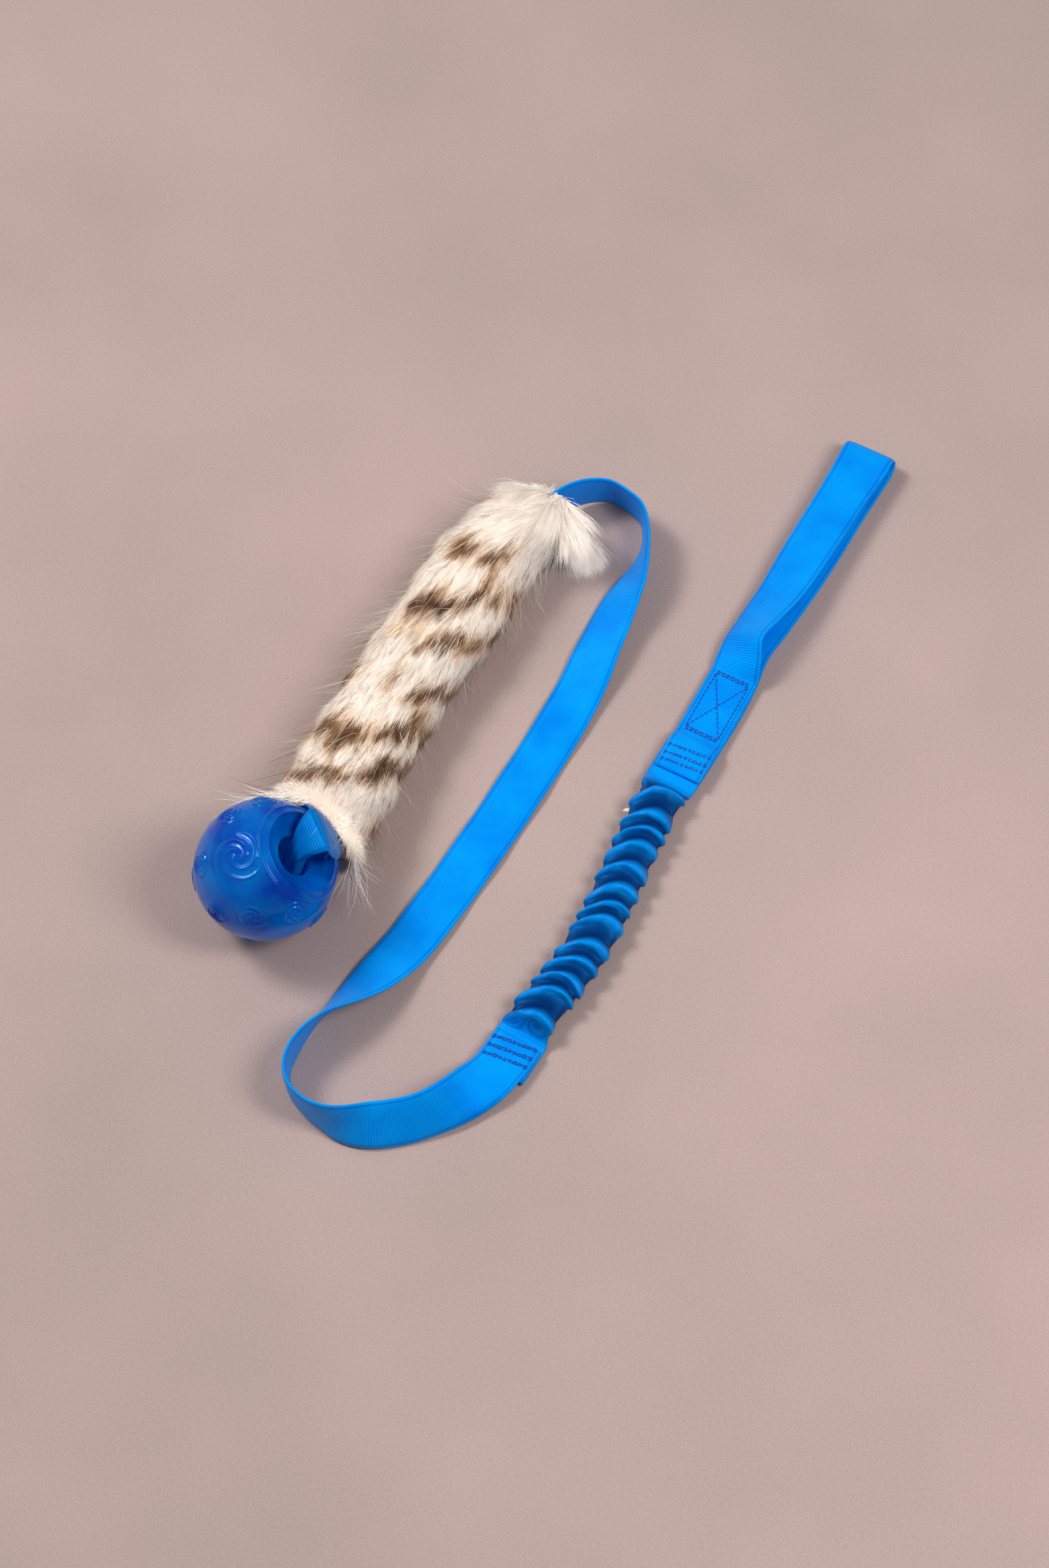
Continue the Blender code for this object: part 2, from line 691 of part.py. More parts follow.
def make_box_thread():
    """The sewn box with its cross, as one net of thread on the upper layer."""
    top = layer_height(BOX_NEAR_END) + WEB_THICKNESS / 2 + SEAT_GAP + THREAD_DIAMETER / 2
    left, right = LOOP_X - BOX_WIDTH / 2, LOOP_X + BOX_WIDTH / 2
    near, far = BOX_NEAR_END, BOX_NEAR_END + BOX_LENGTH
    places = [(left, near), (right, near), (right, far), (left, far)]
    corners = [Vector((x, y, top)) for x, y in places]
    sides = len(corners)
    bars = [(corners[k], corners[(k + 1) % sides]) for k in range(sides)]
    bars += [(corners[0], corners[2]), (corners[1], corners[3])]
    made = []
    for k, (a, b) in enumerate(bars):
        bm = bmesh.new()
        bmesh.ops.create_cube(bm, size=1)
        way = b - a
        extra = THREAD_DIAMETER * (BOX_CORNER_SHARE if k < sides else BOX_CROSS_SHARE)
        bmesh.ops.scale(bm, vec=(way.length + extra, THREAD_DIAMETER, THREAD_DIAMETER), verts=bm.verts)
        bmesh.ops.rotate(bm, matrix=Matrix.Rotation(math.atan2(way.y, way.x), 3, "Z"), verts=bm.verts)
        bmesh.ops.translate(bm, vec=(a + b) / 2, verts=bm.verts)
        made.append(add_mesh("x_box_thread" if k == 0 else f"x_box_bar_{k}", bm, "thread", smooth=False))
    for bar in made[1:]:
        boolean(made[0], bar, "UNION")
    return made[0]


def make_tack_row(name, x, y, z, width=ROW_WIDTH, stitches=ROW_STITCHES, slant=ROW_SLANT_SHARE):
    """One row of tack stitches as a zigzag thread across the webbing, at the height of its lower side."""
    points = []
    for k in range(2 * stitches + 1):
        share = k / (2 * stitches) - 0.5
        wave = ROW_ZIGZAG / 2 if k % 2 else -ROW_ZIGZAG / 2
        points.append((x + share * width, y + wave + share * width * slant, z + THREAD_DIAMETER / 2))
    return thread(name, points)


def make_tack_rows():
    over_loop = layer_height(LOOP_NEAR_END) + WEB_THICKNESS / 2 + SEAT_GAP
    for k, y in enumerate(UPPER_ROW_PLACES):
        make_tack_row(f"upper_tack_row_{k + 1}", LOOP_X, y, over_loop)
    on_box = layer_height(BOX_NEAR_END) + WEB_THICKNESS / 2 + SEAT_GAP
    near = BOX_NEAR_END - BOX_ROW_OFFSET
    far = BOX_NEAR_END + BOX_LENGTH + BOX_ROW_OFFSET
    make_tack_row("box_row_near", LOOP_X, near, on_box, BOX_WIDTH, BOX_ROW_STITCHES, 0)
    make_tack_row("box_row_far", LOOP_X, far, on_box, BOX_WIDTH, BOX_ROW_STITCHES, 0)
    x, _, lift, _ = STRAP_ROUTE[-2]
    for k, y in enumerate(LOWER_ROW_PLACES):
        make_tack_row(f"lower_tack_row_{k + 1}", x, y, lift + WEB_THICKNESS + SEAT_GAP)


def ball_profile():
    """Half section of the ball round its hole's axis: radius and height from outer pole to inner pole."""
    edge = math.radians(DISH_EDGE_DEGREES)
    points = []
    for k in range(BALL_RINGS + 1):
        angle = math.pi - (math.pi - edge) * k / BALL_RINGS
        points.append((BALL_RADIUS * math.sin(angle), BALL_RADIUS * math.cos(angle)))
    rim_radius, rim_height = points[-1]
    points.append((rim_radius - DISH_LIP, rim_height + DISH_LIP))
    points.append((rim_radius - 2 * DISH_LIP, rim_height - DISH_LIP / 2))
    floor = rim_height - DISH_DEPTH
    bowl = rim_radius - 3 * DISH_LIP
    for k in range(DISH_RINGS + 1):
        share = 1 - k / DISH_RINGS
        points.append((mixed(HOLE_RADIUS, bowl, share), floor + (DISH_DEPTH - DISH_LIP) * share**2))
    inner = BALL_RADIUS - BALL_WALL
    inner_edge = math.asin(rim_radius / inner)
    under = floor - BALL_WALL * DISH_WALL_SHARE
    out, up = DISH_BEND_SHARES
    points.append((HOLE_RADIUS, under))
    points.append((mixed(HOLE_RADIUS, rim_radius, out), mixed(under, inner * math.cos(inner_edge), up)))
    for k in range(CAVITY_RINGS + 1):
        angle = mixed(inner_edge, math.pi, k / CAVITY_RINGS)
        points.append((inner * math.sin(angle), inner * math.cos(angle)))
    return points


def ball_turn():
    """Rotation that takes +Z to the hole's axis and +X to the side that faces the sleeve."""
    side = (Vector((0, 1, 0)) - HOLE_AXIS * HOLE_AXIS.y).normalized()
    return Matrix((side, HOLE_AXIS.cross(side), HOLE_AXIS)).transposed()


def spiral_arm(place, radius, start):
    """One raised arm of a spiral: a low ridge that winds out over the sphere from the spiral's middle."""
    polar, azimuth = (math.radians(v) for v in place)
    turn = Matrix.Rotation(azimuth, 3, "Z") @ Matrix.Rotation(polar, 3, "Y")
    sunk = SPIRAL_HEIGHT
    rings = []
    points = []
    for k in range(SPIRAL_STEPS + 1):
        share = k / SPIRAL_STEPS
        reach = mixed(SPIRAL_START_SHARE, 1, share) * radius / BALL_RADIUS
        angle = start + math.radians(SPIRAL_TURN_DEGREES) * share
        out = math.sin(reach)
        points.append(Vector((out * math.cos(angle), out * math.sin(angle), math.cos(reach))))
    for point, way, k in zip(points, directions(points), range(SPIRAL_STEPS + 1)):
        half_turn = mixed(*SPIRAL_TAPER_SHARES, k / SPIRAL_STEPS)
        taper = mixed(SPIRAL_TIP_SHARE, 1, math.sin(math.pi * half_turn))
        across = point.cross(way).normalized() * SPIRAL_WIDTH / 2 * taper
        base = point * (BALL_RADIUS - sunk)
        top = point * (BALL_RADIUS + SPIRAL_HEIGHT * taper)
        narrow = across * SPIRAL_TOP_SHARE
        ring = [base - across, top - narrow, top + narrow, base + across]
        rings.append([BALL_CENTRE + ball_turn() @ (turn @ p) for p in ring])
    return rings


def make_ball():
    """The hollow ball, with a dished mouth and stepped rim round the strap's hole and raised spirals."""
    bm = bmesh.new()
    profile = ball_profile()
    verts = [bm.verts.new((radius, 0, height)) for radius, height in profile]
    edges = [bm.edges.new(pair) for pair in zip(verts, verts[1:])]
    full = 2 * math.pi
    bmesh.ops.spin(bm, geom=verts + edges, axis=(0, 0, 1), cent=(0, 0, 0), angle=full, steps=BALL_SEGMENTS)
    bmesh.ops.remove_doubles(bm, verts=bm.verts, dist=SEAT_GAP / 10)
    bmesh.ops.transform(bm, matrix=Matrix.Translation(BALL_CENTRE) @ ball_turn().to_4x4(), verts=bm.verts)
    ball = add_mesh("ball_shell", bm, "ball")
    arms = []
    spirals = [(BIG_SPIRAL_PLACE, BIG_SPIRAL_RADIUS)] + [(place, SPIRAL_RADIUS) for place in SPIRAL_PLACES]
    for place, radius in spirals:
        for arm in range(SPIRAL_ARMS):
            rings = spiral_arm(place, radius, 2 * math.pi * arm / SPIRAL_ARMS)
            arms.append(solid_loft(f"spiral_arm_{len(arms)}", rings, "ball"))
    for arm in arms:
        boolean(ball, arm, "UNION")
    return ball


def fold_frames():
    """The strap from the sleeve's mouth up over the ball, over its crest and down through the hole."""
    path = smooth_rows(FOLD_SHARES, FOLD_STEPS)
    centres = []
    for row in path:
        offset = Vector(row[:3]) * BALL_RADIUS
        if row[5] > FOLD_HUG_SHARE:
            offset = offset.normalized() * max(offset.length, BALL_RADIUS + FOLD_LIFT)
        centres.append(BALL_CENTRE + offset)
    centres[0] = centres[0] + (centres[1] - centres[0]).normalized() * SEAT_GAP
    _, knot, _ = knot_rings()
    into_knot = (knot[-2] - knot[-1]).normalized()
    centres[-1] = knot[-1] - into_knot * SEAT_GAP
    ways = directions(centres)
    ways[-1] = into_knot
    frames = []
    for centre, way, row in zip(centres, ways, path):
        width, thickness, hug, turn = row[3:]
        side = Vector((math.cos(math.radians(turn)), math.sin(math.radians(turn)), 0))
        level = (side - way * side.dot(way)).normalized()
        hugging = (centre - BALL_CENTRE).cross(way).normalized()
        cross = mixed(level, hugging, hug).normalized()
        cup = hug / (2 * BALL_RADIUS)
        frames.append((centre, cross, way.cross(cross), WEB_WIDTH * width, WEB_THICKNESS * thickness, cup))
    return frames


def make_fold():
    return solid_loft("strap_fold", [web_ring(*frame) for frame in fold_frames()], "webbing")


def knot_rings():
    down = Vector(KNOT_PLACE_SHARES).normalized()
    side = down.cross(Vector((0, 1, 0))).normalized()
    turn = Matrix.Rotation(math.radians(KNOT_TURN_DEGREES), 3, "Z")
    basis = Matrix((side, down.cross(side), down)).transposed() @ turn
    hollow = BALL_RADIUS - BALL_WALL
    middle = BALL_CENTRE + Vector(KNOT_PLACE_SHARES) * hollow
    width, height = [share * hollow for share in KNOT_STRAND_SHARES]
    gap = math.radians(KNOT_GAP_DEGREES)
    points = []
    for k in range(KNOT_STEPS + 1):
        t = mixed(math.pi + gap, 3 * math.pi - gap, k / KNOT_STEPS)
        x = math.sin(t) + 2 * math.sin(2 * t)
        y = math.cos(t) - 2 * math.cos(2 * t)
        local = Vector((x, y, -KNOT_RISE_SHARE * math.sin(3 * t)))
        points.append(middle + basis @ (local * KNOT_SIZE_SHARE * hollow))
    rings = []
    for point, way in zip(points, directions(points)):
        cross = way.cross(down).normalized()
        rings.append(oval_ring(point, cross, cross.cross(way), width, height, KNOT_SIDES))
    return rings, points, down


def make_knot():
    rings, _, _ = knot_rings()
    return solid_loft("tail_knot", rings, "webbing")


def make_tail_end():
    """The short cut end of the strap that sticks out of the knot."""
    hollow = BALL_RADIUS - BALL_WALL
    _, points, down = knot_rings()
    way = (points[0] - points[1]).normalized()
    cross = way.cross(down).normalized()
    rings = []
    for k in range(TAIL_STEPS + 1):
        share = k / TAIL_STEPS
        centre = points[0] + way * (SEAT_GAP + TAIL_LENGTH_SHARE * hollow * share)
        width = KNOT_STRAND_SHARES[0] * hollow * mixed(1, TAIL_SPREAD_SHARE, share)
        height = KNOT_STRAND_SHARES[1] * hollow * mixed(1, TAIL_THIN_SHARE, share)
        rings.append(oval_ring(centre, cross, cross.cross(way), width, height, KNOT_SIDES))
    return solid_loft("tail_end", rings, "webbing")


def sleeve_outer_frames():
    """Centre, cross direction, normal and share of the length, from the mouth at the ball to the neck."""
    centres, crosses, normals = sleeve_frames()
    mouth = BALL_CENTRE + Vector(MOUTH_FROM_BALL)
    points = [mouth, mixed(mouth, centres[0], 1 / 2)] + centres
    flat = crosses[0]
    frames = []
    for k, (point, way) in enumerate(zip(points, directions(points))):
        cross = flat if k < 2 else crosses[k - 2]
        cross = (cross - way * cross.dot(way)).normalized()
        frames.append((point, cross, way.cross(cross), k / (len(points) - 1)))
    return frames


def mouth_size(share, near, far):
    """A size that grows from the sleeve's bore to its mouth over the last part of its length."""
    return mixed(near, far, eased(1 - share / MOUTH_REACH_SHARE))


def hide_rings(extra):
    """Rings round the strap in the sleeve, at every second cross-section of the fur."""
    frames = sleeve_outer_frames()
    if len(frames) % 2 == 0:
        frames.pop(len(frames) // 2)
    rings = []
    for centre, cross, normal, share in frames[::2]:
        width = mouth_size(share, HIDE_BORE_WIDTH, PILE_WIDTH * MOUTH_WIDTH_SHARE) + 2 * extra
        height = mouth_size(share, HIDE_BORE_HEIGHT, PILE_HEIGHT * MOUTH_HEIGHT_SHARE) + 2 * extra
        rings.append(oval_ring(centre, cross, normal, width, height, SLEEVE_SIDES, HIDE_POWER))
    return rings


def pile_rings(inset=0.0):
    """The fur's outer rings: an upright oval that doesn't roll with the strap, with soft rows of lumps."""
    at = [row[0] for row in PILE_SHAPE_SHARES]
    rings = []
    for centre, _, _, share in sleeve_outer_frames():
        _, wide, high, shift = hermite(PILE_SHAPE_SHARES, at, share)
        lump = 1 + PILE_LUMP_SHARE * math.sin(2 * math.pi * PILE_LUMPS * share)
        width = PILE_WIDTH * wide * lump - 2 * inset
        height = PILE_HEIGHT * high * lump - 2 * inset
        rise = max(centre.z, height / 2 - PILE_FLAT_DEPTH)
        middle = Vector((centre.x + shift * PILE_WIDTH, centre.y, rise))
        ring = oval_ring(middle, Vector((-1, 0, 0)), UP, width, height, SLEEVE_SIDES, FUR_POWER)
        rings.append([Vector((p.x, p.y, max(p.z, 0.0))) for p in ring])
    return rings


def ball_room(name, room):
    """A sphere round the ball, to shape the sleeve's mouth."""
    bm = bmesh.new()
    rows = MOUTH_SEGMENTS // 2
    bmesh.ops.create_uvsphere(bm, u_segments=MOUTH_SEGMENTS, v_segments=rows, radius=BALL_RADIUS + room)
    bmesh.ops.translate(bm, vec=BALL_CENTRE, verts=bm.verts)
    return add_mesh(name, bm, "ball")


def make_sleeve():
    """The hide tube with its fur, hemmed at the mouth, where all of it is hollowed to hug the ball."""
    mouth = ball_room("mouth_room", MOUTH_GAP)
    hem = ball_room("hem_room", MOUTH_GAP + CUFF_LENGTH)
    fur = ball_room("fur_room", MOUTH_GAP + CUFF_LENGTH + SEAT_GAP)
    hide = hollow_loft("hide_sleeve", hide_rings(HIDE_WALL), hide_rings(0), "hide")
    boolean(hide, mouth, "DIFFERENCE")
    bore = hide_rings(HIDE_WALL + PILE_GAP)
    pile = hollow_loft("fur_pile", pile_rings(), bore, "fur")
    boolean(pile, fur, "DIFFERENCE")
    cuff = hollow_loft("cuff", pile_rings(CUFF_INSET)[:CUFF_FRAMES], bore[: (CUFF_FRAMES + 1) // 2], "hide")
    boolean(cuff, mouth, "DIFFERENCE")
    boolean(cuff, hem, "INTERSECT")


def make_ruff():
    """The collar of longer fur that flares round the strap at the sleeve's neck."""
    neck, cross, normal, _ = sleeve_outer_frames()[-1]
    way = cross.cross(normal)
    _, wide, high, _ = PILE_SHAPE_SHARES[-1]
    room = 2 * (HIDE_WALL + PILE_GAP)
    outer, inner = [], []
    for k in range(RUFF_STEPS + 1):
        share = k / RUFF_STEPS
        flare = mixed(1, RUFF_FLARE_SHARE, share)
        centre = neck + way * (SEAT_GAP + RUFF_LENGTH * share)
        width, height = PILE_WIDTH * wide * flare, PILE_HEIGHT * high * flare
        middle = Vector((centre.x, centre.y, max(centre.z, height / 2 - PILE_FLAT_DEPTH)))
        ring = oval_ring(middle, Vector((-1, 0, 0)), UP, width, height, SLEEVE_SIDES, FUR_POWER)
        outer.append([Vector((p.x, p.y, max(p.z, 0.0))) for p in ring])
        tall = (HIDE_BORE_WIDTH + room) * mixed(1, RUFF_BORE_SHARE, share)
        broad = mixed(HIDE_BORE_HEIGHT + room, RUFF_BORE_WIDTH, share)
        bore = Vector((centre.x, centre.y, max(centre.z, tall / 2 + RUFF_FLOOR)))
        inner.append(oval_ring(bore, cross, normal, tall, broad, SLEEVE_SIDES, HIDE_POWER))
    return hollow_loft("neck_ruff", outer, inner, "fur")


def hang_on(name, place, pieces):
    """Parents pieces to an empty on their joint's axis, and leaves them where they are."""
    pivot = bpy.data.objects.new(name, None)
    pivot.location = place
    bpy.context.scene.collection.objects.link(pivot)
    for piece in pieces:
        obj = bpy.data.objects[piece]
        obj.parent = pivot
        obj.matrix_parent_inverse = Matrix.Translation(Vector(place)).inverted()
    return pivot


def main():
    clear_scene()
    make_strap()
    make_sleeve_strap()
    make_cover()
    make_elastic()
    make_handle()
    make_box_thread()
    make_tack_rows()
    make_ball()
    make_fold()
    make_knot()
    make_tail_end()
    make_sleeve()
    make_ruff()
    hang_on("bungee_stretch", STRETCH_PLACE, HANDLE_PIECES)
    swing = hang_on("ball_swing", SWING_PLACE, TAIL_PIECES)
    spin = hang_on("ball_spin", BALL_CENTRE, ["ball_shell"])
    spin.parent = swing
    spin.matrix_parent_inverse = Matrix.Translation(Vector(SWING_PLACE)).inverted()


main()
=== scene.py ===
"""Bungee tug toy: webbing, ruched cover, fur, soft ball and studio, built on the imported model."""

import math

import bmesh
import bpy
import numpy as np
from bpy.props import FloatProperty, FloatVectorProperty, IntProperty, PointerProperty
from mathutils import Matrix, Vector


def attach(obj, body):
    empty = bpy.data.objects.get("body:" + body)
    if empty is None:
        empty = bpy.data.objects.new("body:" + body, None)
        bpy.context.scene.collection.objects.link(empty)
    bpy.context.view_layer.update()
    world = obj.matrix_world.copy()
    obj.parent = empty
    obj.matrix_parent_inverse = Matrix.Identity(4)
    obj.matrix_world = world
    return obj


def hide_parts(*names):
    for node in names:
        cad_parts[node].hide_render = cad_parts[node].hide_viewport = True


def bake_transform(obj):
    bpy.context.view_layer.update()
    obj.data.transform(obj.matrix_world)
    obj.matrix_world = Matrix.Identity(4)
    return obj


bl_info = {
    "name": "Bungee Tug Toy",
    "version": (1, 0, 0),
    "blender": (4, 5, 0),
    "location": "3D View > Sidebar > Tug Toy",
    "description": "Dresses the packed tug toy in webbing, ruched fabric, fur and soft translucent rubber",
    "category": "Object",
}

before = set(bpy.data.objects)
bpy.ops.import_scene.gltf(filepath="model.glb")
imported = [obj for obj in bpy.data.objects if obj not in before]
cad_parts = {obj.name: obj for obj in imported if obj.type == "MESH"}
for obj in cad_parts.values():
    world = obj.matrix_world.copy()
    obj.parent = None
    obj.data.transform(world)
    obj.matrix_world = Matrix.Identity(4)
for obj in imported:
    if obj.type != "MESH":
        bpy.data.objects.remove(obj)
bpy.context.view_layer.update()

MM = 0.001
UP = Vector((0, 0, 1))
# Millimetres in 1 of the map "Pattern", and in 1 of the object's own coordinates
PATTERN_SPAN = 100
OBJECT_SPAN = 1000

# Camera, as worked out from the photograph's perspective
CAMERA_AIM = Vector((0.015, -0.052, 0.0))
CAMERA_WAY = Vector((-0.2197, 0.4150, -0.8829))
CAMERA_RIGHT = Vector((0.884, 0.468, 0.0))
CAMERA_DISTANCE = 1.8446
CAMERA_LENS = 85.0
CAMERA_SENSOR = 36.0

# Webbing
WEB_WIDTH = 0.025
WEB_THICKNESS = 0.0024
SEAT_GAP = 0.0003
FLOOR_GAP = 0.0002
WEB_ACROSS = 13
LOCK_THREAD_MM = 1.7
LOCK_THREAD_HALF_WIDTHS_MM = (0.22, 0.58)
BEAD_DEPTH = 0.2
BEAD_PLACE = 0.87
BEAD_WIDTH = 0.04

# The loose strap's length, all of it in the photograph
# Its slight waves: their rise and spacing, and the length at both ends that has none
STRAP_WAVE = (0.0009, 0.041)
STRAP_STILL_LENGTH = 0.02

# The strap's route: x, y, lift of its lower edge over the ground, and the roll that raises its left edge
SLEEVE_ROUTE = [
    (-0.0580, -0.1170, 0.0218, 0),
    (-0.0600, -0.0980, 0.0180, 0),
    (-0.0615, -0.0750, 0.0158, 0),
    (-0.0620, -0.0400, 0.0148, 2),
    (-0.0620, 0.0000, 0.0135, 8),
    (-0.0595, 0.0380, 0.0090, 30),
    (-0.0530, 0.0660, 0.0048, 62),
    (-0.0450, 0.0860, 0.0034, 85),
]
STRAP_ROUTE = [
    (-0.0450, 0.0860, 0.0034, 85),
    (-0.0395, 0.0985, 0.0034, 90),
    (-0.0320, 0.1080, 0.0020, 93),
    (-0.0225, 0.1135, 0.0008, 95),
    (-0.0120, 0.1130, 0.0002, 95),
    (-0.0010, 0.1080, 0.0002, 92),
    (0.0065, 0.0965, 0.0002, 84),
    (0.0100, 0.0830, 0.0002, 66),
    (0.0110, 0.0720, 0.0002, 48),
    (0.0110, 0.0620, 0.0002, 37),
    (0.0115, 0.0500, 0.0002, 28),
    (0.0130, 0.0320, 0.0002, 20),
    (0.0150, 0.0120, 0.0002, 10),
    (0.0158, -0.0100, 0.0002, 2),
    (0.0155, -0.0300, 0.0002, 0),
    (0.0148, -0.0550, 0.0002, 0),
    (0.0130, -0.0910, 0.0002, 0),
    (0.0105, -0.1250, 0.0002, 0),
    (0.0080, -0.1500, 0.0002, 3),
    (0.0050, -0.1680, 0.0002, 10),
    (0.0010, -0.1850, 0.0002, 26),
    (-0.0040, -0.2010, 0.0002, 50),
    (-0.0090, -0.2160, 0.0002, 74),
    (-0.0120, -0.2310, 0.0002, 88),
    (-0.0110, -0.2440, 0.0002, 92),
    (-0.0045, -0.2540, 0.0002, 94),
    (0.0055, -0.2590, 0.0002, 92),
    (0.0165, -0.2600, 0.0002, 84),
    (0.0275, -0.2580, 0.0002, 66),
    (0.0390, -0.2520, 0.0002, 50),
    (0.0510, -0.2430, 0.0003, 48),
    (0.0600, -0.2340, 0.0006, 48),
    (0.0670, -0.2235, 0.0012, 38),
    (0.0725, -0.2110, 0.0022, 20),
    (0.0748, -0.2045, 0.0036, 7),
    (0.0766, -0.1980, 0.0041, 0),
    (0.0779, -0.1890, 0.0041, 0),
    (0.0788, -0.1785, 0.0041, 0),
]
NECK_HEADING_DEGREES = 67.0

# The bungee's route, from the lower tack to the hand loop: x and y
BUNGEE_ROUTE = [
    (0.0776, -0.1960),
    (0.0786, -0.1840),
    (0.0795, -0.1700),
    (0.0822, -0.1500),
    (0.0852, -0.1270),
    (0.0850, -0.1020),
    (0.0828, -0.0760),
    (0.0808, -0.0500),
    (0.0796, -0.0280),
    (0.0800, -0.0130),
    (0.0805, 0.0010),
]
COVER_FLAT = (0.0262, 0.0034)
COVER_FLAT_LENGTH = 0.0205
COVER_SWELL_LENGTH = 0.0090
COVER_HEIGHTS = (0.0072, 0.0148)
COVER_BORE = (0.0150, 0.0068)
COVER_FLAT_BORE = (0.0226, 0.0020)
COVER_BOW = 0.0052
COVER_SKEW = -0.0046
COVER_LEAN = 0.0014
COVER_SPARE = 1.9
COVER_PEAK_POWER = 1.9
COVER_CREST_POWER = 1.15
COVER_DEPTH_POWER = 0.55
COVER_FULL_SHARES = (0.72, 1.0)
COVER_TILT = 0.22
COVER_CREASE = 0.12
COVER_RIPPLE = 0.10
COVER_ROUND_SHARE = 2.4
COVER_SIDES = 72
COVER_STEPS = 330
ELASTIC_DIAMETER = 0.0060
ELASTIC_FLAT = (0.0160, 0.0014)
ELASTIC_SIDES = 24
# The elastic's cut end, which sticks out of the cover's left side
ELASTIC_BIT = [
    (0.0735, -0.0425, 0.0066),
    (0.0700, -0.0436, 0.0066),
    (0.0676, -0.0445, 0.0064),
    (0.0664, -0.0452, 0.0060),
]
ELASTIC_BIT_SHARES = (1.0, 0.95, 0.75, 0.25)
ELASTIC_BIT_SIZE = (0.0026, 0.0016)

# Hand loop
LOOP_NEAR_END = -0.0150
LOOP_FAR_END = 0.2030
LOOP_BOX_TOP = 0.0500
LOOP_SLOPE_END = 0.0100
LOOP_STACK_END = 0.0030
LOOP_X = 0.0810
LOOP_RISE = 0.0120
LOOP_FOLD_RADIUS = 0.0054
LOOP_LOWER_SHIFTS = [
    (-0.0150, -0.0010),
    (0.0050, 0.0000),
    (0.0300, 0.0006),
    (0.0480, 0.0000),
    (0.0680, -0.0022),
    (0.0880, -0.0002),
    (0.1180, 0.0026),
    (0.1480, 0.0040),
    (0.1960, 0.0049),
]
LOOP_FOLD_WIDTH_SHARE = 1.09
LOOP_WIDEN_FROM = 0.1600
LOOP_FOLD_STEPS = 24
LOOP_UPPER_SHARES = [
    (0.00, 0.00, 0, 0.00),
    (0.05, 0.62, 18, -0.06),
    (0.12, 1.12, 37, -0.15),
    (0.22, 1.10, 31, -0.08),
    (0.34, 1.03, 20, 0.02),
    (0.50, 1.00, 9, 0.06),
    (0.70, 1.00, 3, 0.11),
    (0.88, 0.97, 0, 0.15),
]

# Stitching
BOX_WIDTH = 0.0180
BOX_LENGTH = 0.0340
BOX_NEAR_END = 0.0128
BOX_ROW_OFFSET = 0.0016
ROW_WIDTH = 0.0230
UPPER_ROW_PLACES = (-0.0010, -0.0058, -0.0100)
LOWER_ROW_PLACES = (-0.1812, -0.1862, -0.1910)
ROW_SLANT_SHARE = 0.10
TACK_PRESS = 0.55
TACK_ROW_GAP = 0.0011
TACK_STITCH = 0.0026
TACK_CROSSINGS = 11
BOX_CROSSINGS = 8
# One stitch: share of its length, then lift and radius in shares of the thread
STITCH_SHAPE_SHARES = [
    (0.0, -0.55, 0.35),
    (0.14, 0.18, 0.5),
    (0.5, 0.42, 0.5),
    (0.86, 0.18, 0.5),
    (1.0, -0.55, 0.35),
]
STITCH_SIDES = 6

# Ball: a hollow sphere with a dished mouth round the strap's hole
BALL_RADIUS = 0.0346
BALL_WALL = 0.0042
BALL_CENTRE = Vector((-0.0650, -0.1680, BALL_RADIUS))
HOLE_AXIS = Vector((0, 0, 1))
HOLE_AXIS.rotate(Matrix.Rotation(math.radians(42.6), 3, "Y"))
HOLE_AXIS.rotate(Matrix.Rotation(math.radians(25.0), 3, "Z"))
HOLE_RADIUS = 0.0100
DISH_EDGE_DEGREES = 37.0
DISH_DEPTH = 0.0050
DISH_LIP = 0.0006
RING_DEGREES = 43.0
SPIRAL_START = 0.16
SPIRAL_TURN_DEGREES = 250.0
SPIRAL_HALF_WIDTH = 0.00075
SPIRAL_FADE = 8
BALL_SEGMENTS = 360
BALL_OUTSIDE_RINGS = 200
BALL_INSIDE_RINGS = 45
DISH_STEPS = 12
DISH_WALL_SHARE = 0.9
DISH_BEND_SHARES = (0.55, 0.35)
POLE_ANGLE = 0.01
# The raised spirals: degrees from the hole and round it, and radius
SPIRALS = [
    (62, 127, 0.0125),
    (77, 82, 0.0066),
    (103, 121, 0.0066),
    (107, 164, 0.0066),
    (77, 181, 0.0066),
    (54, 211, 0.0066),
    (60, 55, 0.0066),
    (72, 252, 0.0066),
    (80, 300, 0.0066),
    (118, 60, 0.0066),
    (122, 215, 0.0066),
    (115, 275, 0.0066),
    (120, 335, 0.0066),
    (143, 120, 0.0066),
    (150, 20, 0.0066),
    (150, 255, 0.0066),
]

